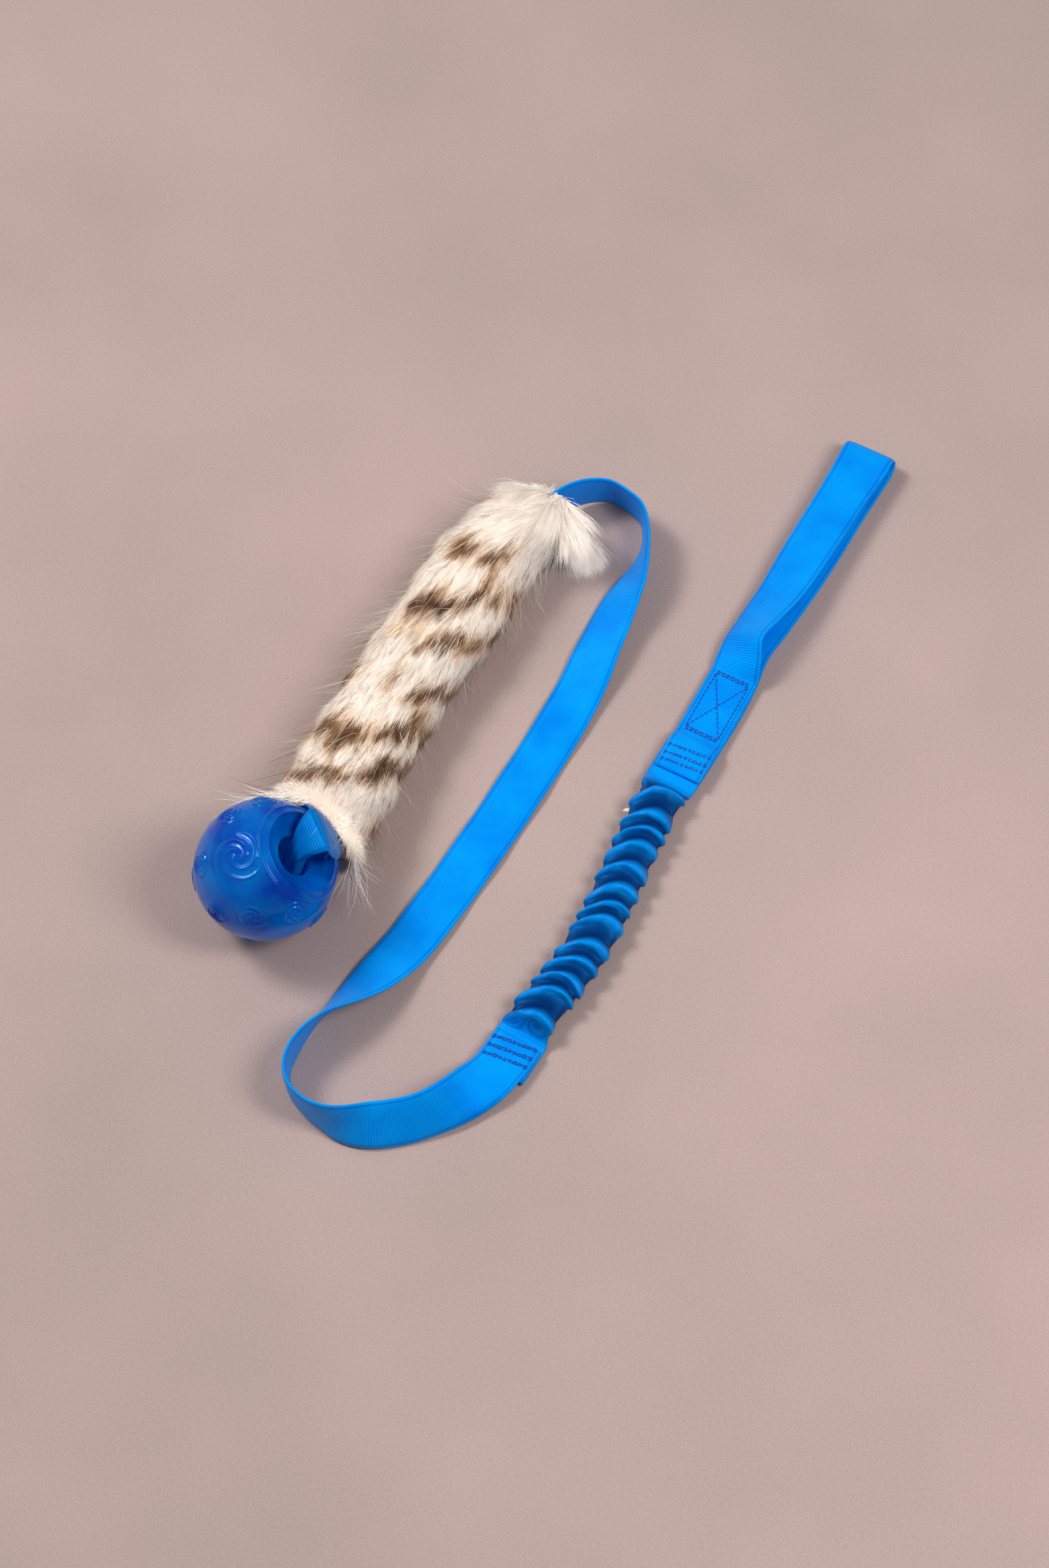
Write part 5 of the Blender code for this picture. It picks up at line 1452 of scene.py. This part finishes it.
def map_places(column, along):
    """Places on the map OFBake for hairs at these columns and shares of the map's height."""
    return np.stack([column / SLEEVE_SIDES * 0.9 + 0.02, along], axis=1)


def hair_pieces(name, pieces, hair, node, *rows):
    """Hairs dealt out over several pieces. White hair lets light through, so only one casts shadows."""
    for k in range(pieces):
        made = strands(f"{name}_{k + 1}", *(row[k::pieces] for row in rows))
        made.visible_shadow = k == 0
        dress(made, hair, "strap", "fur", *([node] if k == 0 else []))


def coat_hairs(settings, hair, rng):
    """The sleeve's hairs in locks and tufts, with brown-tipped patches and stray hairs."""
    count = settings.hairs
    rings = trimmed(coat_rings(ROOT_DEPTH), HEM_START + COAT_START_SHARE * CUFF_LENGTH, None, COAT_STEPS)
    i = rng.random(count) * (len(rings) - 1)
    j = rng.random(count) * SLEEVE_SIDES
    roots, normals, flow = on_rings(rings, i, j)
    share = i / (len(rings) - 1)
    y, turn = coat_places(roots, j)
    wild = np.full(count, STRAY_SHARE)
    for place, at, long, wide, most in STRAY_SPOTS:
        wild += most * np.exp(-(((y - place) / long) ** 2 + ((turn - at) / wide) ** 2))
    stray = rng.random(count) < wild
    flat = np.stack([roots[:, 1] / MM * 0.45, j / SLEEVE_SIDES * 360 * MM_PER_DEGREE], axis=1)
    lock, lock_own = tufts(flat, LOCK_CELL, 4)
    tuft, tuft_own = tufts(flat, TUFT_CELL, 5)
    # Each lock and each tuft leans its own way
    sway = (lock_own * 7.3 % 1 - 0.5) * 0.36 + (tuft_own * 5.9 % 1 - 0.5) * 0.24
    sway += rng.normal(0, 0.10, count)
    wander = unit(np.cross(normals, flow)) * sway[:, None]
    lift = (0.34 + 0.30 * lock_own + rng.normal(0, 0.09, count) + 0.5 * stray)[:, None]
    first = unit(flow + normals * lift + wander)
    loose = rng.normal(0, 0.11, (count, 3)) * np.where(stray, 3.0, 1)[:, None]
    out = (0.04 + 0.12 * tuft_own + 0.75 * stray)[:, None]
    last = unit(flow * 1.1 + normals * out + wander * 1.4 + loose)
    # Longer over the last part before the neck, and shorter at the hem
    length = settings.length * rng.uniform(0.72, 1.18, count)
    length *= 1 + 0.4 * np.clip((share - 0.84) / 0.16, 0, 1)
    long = rng.uniform(*STRAY_LENGTH_SHARES, count)
    length *= np.clip(0.55 + share * 6, 0, 1) * np.where(stray, long, 1)
    points = hair_points(roots, first, last, length)
    drawn_together(points, lock, 0.16 * ~stray)
    drawn_together(points, tuft, rng.uniform(0.15, 0.75, count) * ~stray)
    points = clear_of_ball(points, COAT_ROOM)
    y, turn = coat_places(points[:, 3] * 0.7 + points[:, 2] * 0.3, j)
    # Each tuft reads its colour a few mm off its place, so that the patches have streaky edges
    streak = (tuft_own - 0.5) * 6.5 + rng.normal(0.0, 1.4, count)
    tips = brown_at(y + streak, turn + rng.normal(0, 3.0, count))
    tips = np.clip(tips * (0.62 + 0.75 * (tuft_own * 3.7 % 1) + rng.normal(0, 0.18, count)), 0, 1)
    brown = tips[:, None] * np.array(HAIR_COLOUR_SHARES)
    # Tone: partly the hairs' own unevenness, partly painted shade between hairs and tufts
    tone = np.clip(TONE_TOP - rng.gamma(*TONE_FALL, count) - 0.20 * (tuft_own * 9.1 % 1) ** 2, 0, 1)
    width = settings.width * rng.uniform(0.7, 1.25, count)
    coords = map_places(j, share * 0.9 + 0.02)
    pieces = math.ceil(count / HAIRS_PER_PIECE)
    hair_pieces("coat_hairs", pieces, hair, "fur_pile", points, normals, width, brown, tone, coords)


def hem_fuzz(settings, hair, rng):
    """The short fuzz of the hide's hem, with some long wisps."""
    count = HEM_HAIRS
    rings = trimmed(coat_rings(HEM_INSET + MM), HEM_START, HEM_END, HEM_STEPS)
    i = rng.random(count) * (len(rings) - 1)
    j = rng.random(count) * SLEEVE_SIDES
    roots, normals, flow = on_rings(rings, i, j)
    _, turn = coat_places(roots, j)
    # Long wisps, most of them at the hem's left and right
    wispy = 0.004 + 0.035 * (np.abs(turn - 70) < 45) + 0.030 * (np.abs(turn + 105) < 35)
    wisp = rng.random(count) < wispy
    loose = rng.normal(0, 0.34, (count, 3))
    first = unit(normals + flow * (0.25 + 0.6 * wisp[:, None]) + loose)
    last = unit(normals * 0.6 + flow * (0.6 + 0.9 * wisp[:, None]) + loose)
    length = rng.uniform(*HEM_HAIR_LENGTHS, count)
    length += wisp * rng.uniform(*HEM_WISP_LENGTHS, count) * rng.random(count)
    points = clear_of_ball(hair_points(roots, first, last, length), FUZZ_ROOM)
    width = settings.width * np.where(wisp, 0.65, 0.8)
    coords = map_places(j, i / len(rings) * 0.04 + 0.94)
    # Tone: partly the hairs' own unevenness, partly painted shade, as in the coat
    tone = rng.uniform(0.7, 1, count)
    fuzz = strands("hem_fuzz", points, normals, width, np.zeros((count, 4)), tone, coords)
    fuzz.visible_shadow = False
    dress(fuzz, hair, "strap", "fur")


def hem_whiskers(settings, hair, rng):
    """Long single hairs that stick out over the ball and the floor."""
    rings = trimmed(coat_rings(HEM_INSET + MM), HEM_START, HEM_END, HEM_STEPS)
    roots, ways = [], []
    for count, turned, way, spread in WHISKERS:
        j = (90 - rng.normal(turned, spread, count)) / 360 * SLEEVE_SIDES % SLEEVE_SIDES
        found, _, _ = on_rings(rings, rng.random(count) * (len(rings) - 1), j)
        roots.append(found)
        ways.append(unit(np.array(way) + rng.normal(0, 0.22, (count, 3))))
    roots, ways = np.concatenate(roots), np.concatenate(ways)
    count = len(roots)
    last = unit(ways + rng.normal(0, 0.30, (count, 3)))
    length = rng.uniform(*WHISKER_LENGTHS, count)
    points = clear_of_ball(hair_points(roots, ways, last, length), WHISKER_ROOM)
    brown = np.repeat((rng.random((count, 1)) < 0.2) * 0.6, 4, axis=1)
    width = np.full(count, settings.width * 1.1)
    coords = np.tile([0.5, 0.995], (count, 1))
    up = np.tile([0.0, 0.0, 1.0], (count, 1))
    whiskers = strands("hem_whiskers", points, up, width, brown, np.ones(count), coords)
    dress(whiskers, hair, "strap", "fur")


def ruff_hairs(settings, hair, rng):
    """The neck's long hairs, which fall back over the sleeve and hang out in a tuft on the right."""
    count = RUFF_HAIRS
    rings, way = ruff_rings()
    i = rng.random(count) ** 0.8 * (len(rings) - 1) * RUFF_ROOT_SHARE
    j = rng.random(count) * SLEEVE_SIDES
    roots, normals, _ = on_rings(rings, i, j)
    back = -np.tile(way, (count, 1))
    flat = np.stack([i * 1.2, j / SLEEVE_SIDES * 100], axis=1)
    tuft, tuft_own = tufts(flat, RUFF_TUFT_CELL, 9)
    forward = rng.random((count, 1)) < 0.07
    right_side = np.clip((roots[:, 0] - rings[..., 0].mean()) / 0.006 + 0.35, 0, 1)[:, None]
    near, far = np.array(RUFF_TUFT_WAYS)
    tuft_way = near + (far - near) * (tuft_own * 4.7 % 1)[:, None]
    loose = rng.normal(0, 0.12, (count, 3)) + (rng.random((tuft.max() + 1, 3))[tuft] - 0.5) * 0.62
    # The right side hangs as one long tuft, and the rest falls back over the sleeve
    hang = tuft_way * right_side
    fall = back * np.where(forward, -0.6, 0.6 - 0.5 * right_side)
    first = unit(normals * (0.48 + 0.27 * right_side) + fall + hang * 0.45 + loose)
    fall = back * np.where(forward, -0.5, 1.0 - right_side)
    out = (0.02 + 0.16 * tuft_own[:, None]) * (1 - right_side)
    last = unit(normals * out + fall + hang + loose)
    length = settings.length * rng.uniform(0.95, 2.05, count) * (1 + 0.25 * right_side[:, 0])
    length = np.where(forward[:, 0], length * 0.36, length)
    points = hair_points(roots, first, last, length)
    points[:, 3, 2] -= RUFF_SAG * length
    drawn_together(points, tuft, rng.uniform(0.15, 0.65, count))
    # Tone: partly the hairs' own unevenness, partly painted shade between hairs and tufts
    tone = np.clip(TONE_TOP - rng.gamma(*TONE_FALL, count) - 0.18 * tuft_own**2, 0, 1)
    width = settings.width * rng.uniform(0.7, 1.2, count)
    coords = map_places(j, np.full(count, 0.90))
    shading = unit(normals + np.array(UP) * 0.6)
    rows = (points, shading, width, np.zeros((count, 4)), tone, coords)
    hair_pieces("ruff_hairs", RUFF_PIECES, hair, "neck_ruff", *rows)


# Stitches


def stitch_mesh(name, stitches, thickness):
    """Sewn stitches: (start, end, up) each, as short bowed threads that dive into the cloth."""
    lengthwise, lift, radius = np.array(STITCH_SHAPE_SHARES).T
    lift, radius = lift * thickness, radius * thickness
    sides = STITCH_SIDES
    verts, faces, places = [], [], []
    for start, end, up in stitches:
        way = (end - start).normalized()
        side = way.cross(up).normalized()
        base = len(verts)
        for t, h, r in zip(lengthwise, lift, radius):
            middle = mixed(start, end, t) + up * h
            for k in range(sides):
                angle = 2 * math.pi * k / sides
                verts.append(middle + side * math.cos(angle) * r + up * math.sin(angle) * r)
        length = (end - start).length / MM
        for i in range(len(lift) - 1):
            for k in range(sides):
                a, b = base + i * sides + k, base + i * sides + (k + 1) % sides
                faces.append((a, b, b + sides, a + sides))
                u, v = thickness / MM * math.pi / sides, length / 4
                places += [(k * u, i * v), (k * u + u, i * v), (k * u + u, i * v + v), (k * u, i * v + v)]
        faces.append(tuple(base + k for k in reversed(range(sides))))
        faces.append(tuple(base + (len(lift) - 1) * sides + k for k in range(sides)))
        places += [(0, 0)] * (2 * sides)
    mesh = bpy.data.meshes.new(name)
    mesh.from_pydata([tuple(v) for v in verts], [], faces)
    lay_map(mesh, "Pattern", np.array(places) / PATTERN_SPAN)
    mesh.shade_smooth()
    return new_piece(name, mesh)


def straight_stitches(a, b, length, wander, rng):
    """A row of stitches from a to b."""
    count = max(1, round((b - a).length / length))
    side = (b - a).normalized().cross(UP)
    found = []
    for k in range(count):
        off = side * rng.uniform(-wander, wander)
        found.append((mixed(a, b, (k + 0.07) / count) + off, mixed(a, b, (k + 0.93) / count) + off, UP))
    return found


def tack_stitches(middle, width, slant, rng):
    """One bar tack: two uneven rows of stitches with short slanted ones between them."""
    found = []
    a = middle + Vector((-width / 2, -width / 2 * slant, 0))
    b = middle + Vector((width / 2, width / 2 * slant, 0))
    for off in (-TACK_ROW_GAP / 2, TACK_ROW_GAP / 2):
        shift = Vector((0, off, 0))
        found += straight_stitches(a + shift, b + shift, TACK_STITCH, 0.0002, rng)
    for k in range(TACK_CROSSINGS):
        centre = mixed(a, b, (k + 0.5) / TACK_CROSSINGS) + Vector((rng.uniform(-1, 1) * 0.0003, 0, 0.00012))
        lean = Vector((0.0006 * (1 if k % 2 else -1), 0.0008, 0))
        found.append((centre - lean, centre + lean, UP))
    return found


def flat_webbing(name, centres, crosses, normals):
    """Webbing of its full width and thickness."""
    rows = zip(centres, crosses, normals)
    return webbing(name, [(*row, WEB_WIDTH, WEB_THICKNESS, 0.0) for row in rows])


def material(name, make):
    """The material of this name, made once."""
    return bpy.data.materials.get(name) or make()


def blue_webbing(settings, shade_scale=1.0):
    """The webbing's material, or a darker copy with its colours scaled down, as painted shade."""
    name = "woven_nylon_webbing" if shade_scale == 1 else "shaded_nylon_webbing"
    deep, bright = [(*(part * shade_scale for part in colour), 1.0) for colour in (settings.deep, settings.bright)]
    return material(name, lambda: nylon_webbing(name, settings.rib / MM, deep, bright))


# Operators: one for each piece or group of like pieces


class TUG_OT_stage(bpy.types.Operator):
    """Camera at the photograph's angle, soft studio light and a plain floor"""

    bl_idname = "tug.stage"
    bl_label = "Camera, Light and Floor"

    def execute(self, context):
        settings = context.scene.tug_stage
        scene = context.scene
        scene.view_settings.view_transform = "Standard"
        data = bpy.data.cameras.new("camera")
        data.lens = CAMERA_LENS
        data.sensor_fit = "VERTICAL"
        data.sensor_height = CAMERA_SENSOR
        camera = bpy.data.objects.new("camera", data)
        scene.collection.objects.link(camera)
        way = CAMERA_WAY.normalized()
        right = (CAMERA_RIGHT - way * CAMERA_RIGHT.dot(way)).normalized()
        turn = Matrix((right, right.cross(way), -way)).transposed()
        camera.matrix_world = Matrix.Translation(CAMERA_AIM - way * CAMERA_DISTANCE) @ turn.to_4x4()
        scene.camera = camera

        ahead = UP.cross(CAMERA_RIGHT).normalized()
        across = CAMERA_RIGHT.normalized()
        for name, place, sides, part, power in LAMPS:
            offset = across * place[0] + ahead * place[1] + UP * place[2]
            light = bpy.data.lights.new(name, "AREA")
            light.shape = "RECTANGLE"
            light.size, light.size_y = sides
            light.energy = getattr(settings, power) * part
            lamp = bpy.data.objects.new(name, light)
            scene.collection.objects.link(lamp)
            lamp.location = CAMERA_AIM + offset
            lamp.rotation_euler = (-offset).to_track_quat("-Z", "Y").to_euler()

        world = bpy.data.worlds.new("studio")
        scene.world = world
        world.use_nodes = True
        tree = world.node_tree
        fill(tree, tree.nodes["Background"], {"Color": linear(WORLD_COLOUR), "Strength": 1.0})

        mesh = bpy.data.meshes.new("studio_floor")
        half = FLOOR_HALF
        corners = [(-half, -half, 0), (half, -half, 0), (half, half, 0), (-half, half, 0)]
        mesh.from_pydata(corners, [], [(0, 1, 2, 3)])
        floor = new_piece("studio_floor", mesh)
        mesh.materials.append(floor_paper(settings.floor))
        return {"FINISHED"}


class TUG_OT_loose_strap(bpy.types.Operator):
    """The loose strap from the sleeve's neck to the bungee, a flat cord that lies on the floor"""

    bl_idname = "tug.loose_strap"
    bl_label = "Loose Strap"

    def execute(self, context):
        settings = context.scene.tug_webbing
        centres, crosses, normals = strap_frames(STRAP_ROUTE, 0, settings.step)
        rise, spacing = STRAP_WAVE
        for k, centre in enumerate(centres):
            from_end = min(k, len(centres) - 1 - k) * settings.step
            ends = eased((from_end - STRAP_STILL_LENGTH) / (2 * STRAP_STILL_LENGTH))
            centre.z += rise * ends * math.sin(math.pi * k * settings.step / spacing) ** 2
        strap = flat_webbing("loose_strap", centres, crosses, normals)
        dress(strap, blue_webbing(settings), "strap", "webbing", "strap")
        return {"FINISHED"}


class TUG_OT_hand_loop(bpy.types.Operator):
    """The folded hand loop of webbing, with its sewn-down end"""

    bl_idname = "tug.hand_loop"
    bl_label = "Hand Loop"

    def execute(self, context):
        settings = context.scene.tug_webbing
        loop = webbing("hand_loop", loop_frames(settings.step))
        dress(loop, blue_webbing(settings), "handle", "webbing", "handle_loop")
        return {"FINISHED"}


class TUG_OT_stitches(bpy.types.Operator):
    """The sewn box with its cross, and the bar tacks at both ends of the bungee"""

    bl_idname = "tug.stitches"
    bl_label = "Stitches"

    def execute(self, context):
        settings = context.scene.tug_webbing
        thread = material("polyester_thread", polyester_thread)
        rng = np.random.default_rng(3)
        top = layer_height(BOX_NEAR_END) + WEB_THICKNESS / 2
        left, right = LOOP_X - BOX_WIDTH / 2, LOOP_X + BOX_WIDTH / 2
        near, far = BOX_NEAR_END, BOX_NEAR_END + BOX_LENGTH
        corner = [Vector((x, y, top)) for x, y in ((left, near), (right, near), (right, far), (left, far))]
        lines = [(0, 1), (1, 2), (2, 3), (3, 0), (0, 2), (1, 3)]
        found = []
        for a, b in lines:
            found += straight_stitches(corner[a], corner[b], settings.stitch, 0.0001, rng)
        for y, first, second in ((near - BOX_ROW_OFFSET, 0, 1), (far + BOX_ROW_OFFSET, 3, 2)):
            shift = Vector((0, y - corner[first].y, 0))
            start, end = corner[first], corner[second]
            found += straight_stitches(start + shift, end + shift, settings.stitch, 0.0001, rng)
            for k in range(BOX_CROSSINGS):
                a = mixed(start, end, (k + 0.1) / BOX_CROSSINGS) + (shift if k % 2 else shift * 0)
                b = mixed(start, end, (k + 0.9) / BOX_CROSSINGS) + (shift * 0 if k % 2 else shift)
                found.append((a, b, UP))
        box = stitch_mesh("box_stitches", found, settings.thread)
        dress(box, thread, "handle", "thread", "x_box_thread", "box_row_near", "box_row_far")

        found = []
        for y in UPPER_ROW_PLACES:
            height = layer_height(y) + WEB_THICKNESS / 2 * TACK_PRESS
            found += tack_stitches(Vector((LOOP_X, y, height)), ROW_WIDTH, ROW_SLANT_SHARE, rng)
        upper = stitch_mesh("upper_tacks", found, settings.thread)
        dress(upper, thread, "handle", "thread", "upper_tack_row_1", "upper_tack_row_2", "upper_tack_row_3")

        x, _, lift, _ = STRAP_ROUTE[-2]
        found = []
        for y in LOWER_ROW_PLACES:
            found += tack_stitches(Vector((x, y, lift + WEB_THICKNESS)), ROW_WIDTH, ROW_SLANT_SHARE, rng)
        lower = stitch_mesh("lower_tacks", found, settings.thread)
        dress(lower, thread, "strap", "thread", "lower_tack_row_1", "lower_tack_row_2", "lower_tack_row_3")
        return {"FINISHED"}


class TUG_OT_bungee(bpy.types.Operator):
    """The ruched cover with its crescent pleats, and the elastic cord inside"""

    bl_idname = "tug.bungee"
    bl_label = "Bungee"

    def execute(self, context):
        settings = context.scene.tug_bungee
        rows, coords, depths, core = cover_rows(settings)
        cover = lofted("ruched_cover", rows, coords, looped=True)
        # The depths in the gathers, which the cover's material darkens as painted shade
        depth = np.zeros(len(cover.data.vertices), np.float32)
        depth[: len(depths) * COVER_SIDES] = np.ravel(depths)
        mark(cover.data, "fold_depth", depth)
        rib = context.scene.tug_webbing.rib / MM
        deep, bright = (*settings.deep, 1.0), (*settings.bright, 1.0)
        name = "ruched_nylon_tube"
        fabric = material(name, lambda: nylon_webbing(name, rib, deep, bright, gathered=True))
        dress(cover, fabric, None, "cover", "bungee_cover")
        braid = material("braided_elastic", braided_elastic)
        elastic = lofted("elastic_cord", core, ring_coords(core), caps=True)
        dress(elastic, braid, None, "elastic", "bungee_elastic")
        points = [Vector(place) for place in ELASTIC_BIT]
        rings = []
        for point, way, share in zip(points, directions(points), ELASTIC_BIT_SHARES):
            wide, tall = (size * share for size in ELASTIC_BIT_SIZE)
            rings.append(oval(point, way.cross(UP).normalized(), UP, wide, tall, ELASTIC_SIDES))
        bit = lofted("elastic_bit", rings, ring_coords(rings), caps=True)
        dress(bit, braid, None, "elastic")
        for piece in (cover, elastic, bit):
            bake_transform(piece)
        return {"FINISHED"}


class TUG_OT_sleeve(bpy.types.Operator):
    """The strap inside the sleeve, the hide tube with its rolled hem, and the dense underfur"""

    bl_idname = "tug.sleeve"
    bl_label = "Hide Sleeve"

    def execute(self, context):
        webbing_settings = context.scene.tug_webbing
        centres, crosses, normals = strap_frames(SLEEVE_ROUTE, -1, webbing_settings.step)
        inner = flat_webbing("strap_in_sleeve", centres, crosses, normals)
        dress(inner, blue_webbing(webbing_settings), "strap", "webbing", "sleeve_strap")

        hide = material("tanned_hide", tanned_hide)
        outer = trimmed(hide_rings(HIDE_WALL), HEM_START, None, HIDE_STEPS)
        inner_side = trimmed(hide_rings(0), HEM_START, None, HIDE_STEPS)
        rows = np.concatenate([outer, inner_side[::-1]])
        tube = lofted("hide_tube", rows, ring_coords(rows), looped=True)
        dress(tube, hide, "strap", "hide", "hide_sleeve")

        outer = trimmed(coat_rings(HEM_INSET), HEM_START, HEM_END, HEM_STEPS)
        inner_side = trimmed(hide_rings(HIDE_WALL + SEAT_GAP), HEM_START, HEM_END, HEM_STEPS)
        lip = mixed(outer[0], inner_side[0], 0.5) + unit(np.array(BALL_CENTRE) - outer[0]) * SEAT_GAP * 2
        rows = np.concatenate([outer[::-1], lip[None], inner_side])
        rng = np.random.default_rng(8)
        rows = rows + rng.normal(0, HEM_ROUGHNESS, rows.shape)
        hem = lofted("rolled_hem", rows, ring_coords(rows), looped=True)
        dress(hem, hide, "strap", "hide", "cuff")

        outer = trimmed(coat_rings(ROOT_DEPTH), HEM_END + SEAT_GAP, None, UNDERFUR_STEPS)
        inner_side = trimmed(hide_rings(HIDE_WALL + SEAT_GAP), HEM_END + SEAT_GAP, None, UNDERFUR_STEPS)
        rows = np.concatenate([outer, inner_side[::-1]])
        underfur = lofted("underfur", rows, ring_coords(rows), looped=True)
        y, turn = coat_places(rows.reshape(-1, 3), np.tile(np.arange(SLEEVE_SIDES), len(rows)))
        mark(underfur.data, "coat_brown", brown_at(y, turn) * 0.7)
        # A tone of 0.80 tints the underfur a little towards the tan of the hairs' painted shade
        mark(underfur.data, "hair_tone", np.full(len(y), 0.80))
        felt = material("dense_underfur", lambda: fur_hair("dense_underfur", 0.8, felted=True))
        dress(underfur, felt, "strap", "fur")
        return {"FINISHED"}


class TUG_OT_coat(bpy.types.Operator):
    """The sleeve's hairs, with brown-tipped patches, stray hairs and the fuzz of the hem"""

    bl_idname = "tug.coat"
    bl_label = "Fur Coat"

    def execute(self, context):
        settings = context.scene.tug_fur
        hair = material("dyed_fur_hair", lambda: fur_hair("dyed_fur_hair", 0.45))
        rng = np.random.default_rng(11)
        coat_hairs(settings, hair, rng)
        hem_fuzz(settings, hair, rng)
        hem_whiskers(settings, hair, rng)
        return {"FINISHED"}


class TUG_OT_ruff(bpy.types.Operator):
    """The long white hairs round the neck, which fall back over the sleeve"""

    bl_idname = "tug.ruff"
    bl_label = "Neck Ruff"

    def execute(self, context):
        settings = context.scene.tug_fur
        hair = material("dyed_fur_hair", lambda: fur_hair("dyed_fur_hair", 0.45))
        rng = np.random.default_rng(23)
        ruff_hairs(settings, hair, rng)
        return {"FINISHED"}


class TUG_OT_strap_end(bpy.types.Operator):
    """The strap over the ball and into its hole, its knot, and the cut tip"""

    bl_idname = "tug.strap_end"
    bl_label = "Strap End and Knot"

    def execute(self, context):
        settings = context.scene.tug_webbing
        # Painted shade: these pieces take the darker copy of the webbing
        web = blue_webbing(settings, shade_scale=FOLD_SHADE_SCALE)
        frames = fold_frames(FOLD_STEPS)
        fold = webbing("strap_over_ball", frames)
        dress(fold, web, None, "webbing", "strap_fold")
        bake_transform(fold)
        hollow = BALL_RADIUS - BALL_WALL
        points, down = knot_path(KNOT_STEPS)
        width, height = [share * hollow for share in KNOT_STRAND_SHARES]
        rings = strand_rings(points, down, width, height)
        knot = lofted("knot", rings, ring_coords(rings), caps=True)
        dress(knot, web, "tail", "webbing", "tail_knot")
        way = (points[0] - points[1]).normalized()
        length = TAIL_LENGTH_SHARE * hollow
        reach = [points[0] + way * (SEAT_GAP + length * k / TAIL_STEPS) for k in range(TAIL_STEPS + 1)]
        rings = strand_rings(reach, down, width * TAIL_SPREAD_SHARE, height * TAIL_THIN_SHARE)
        tip = lofted("strap_tip", rings, ring_coords(rings), caps=True)
        dress(tip, web, "tail", "webbing", "tail_end")
        return {"FINISHED"}


class TUG_OT_ball(bpy.types.Operator):
    """The hollow translucent ball, with its dished mouth and raised spirals"""

    bl_idname = "tug.ball"
    bl_label = "Ball"

    def execute(self, context):
        settings = context.scene.tug_ball
        rows = ball_rows(settings.ridge)
        ball = lofted("rubber_ball", rows, ring_coords(rows), caps=True)
        rubber = material("soft_rubber", lambda: soft_rubber(settings.clearness))
        dress(ball, rubber, "ball", "ball", "ball_shell")
        return {"FINISHED"}


OPERATORS = (
    TUG_OT_stage,
    TUG_OT_loose_strap,
    TUG_OT_hand_loop,
    TUG_OT_stitches,
    TUG_OT_bungee,
    TUG_OT_sleeve,
    TUG_OT_coat,
    TUG_OT_ruff,
    TUG_OT_strap_end,
    TUG_OT_ball,
)
GROUPS = {
    "tug_webbing": TugWebbing,
    "tug_bungee": TugBungee,
    "tug_fur": TugFur,
    "tug_ball": TugBall,
    "tug_stage": TugStage,
}


class TUG_PT_panel(bpy.types.Panel):
    """Sizes, colours and pieces of the tug toy"""

    bl_idname = "TUG_PT_panel"
    bl_label = "Tug Toy"
    bl_space_type = "VIEW_3D"
    bl_region_type = "UI"
    bl_category = "Tug Toy"

    def draw(self, context):
        for name, group in GROUPS.items():
            box = self.layout.box()
            for field in group.__annotations__:
                box.prop(getattr(context.scene, name), field)
        for operator in OPERATORS:
            self.layout.operator(operator.bl_idname)


def register():
    for group in (*GROUPS.values(), *OPERATORS, TUG_PT_panel):
        bpy.utils.register_class(group)
    for name, group in GROUPS.items():
        setattr(bpy.types.Scene, name, PointerProperty(type=group))


def unregister():
    for name in GROUPS:
        delattr(bpy.types.Scene, name)
    for group in (TUG_PT_panel, *reversed(OPERATORS), *GROUPS.values()):
        bpy.utils.unregister_class(group)


def main():
    register()
    for operator in OPERATORS:
        group, name = operator.bl_idname.split(".")
        getattr(getattr(bpy.ops, group), name)()


if __name__ == "__main__":
    main()
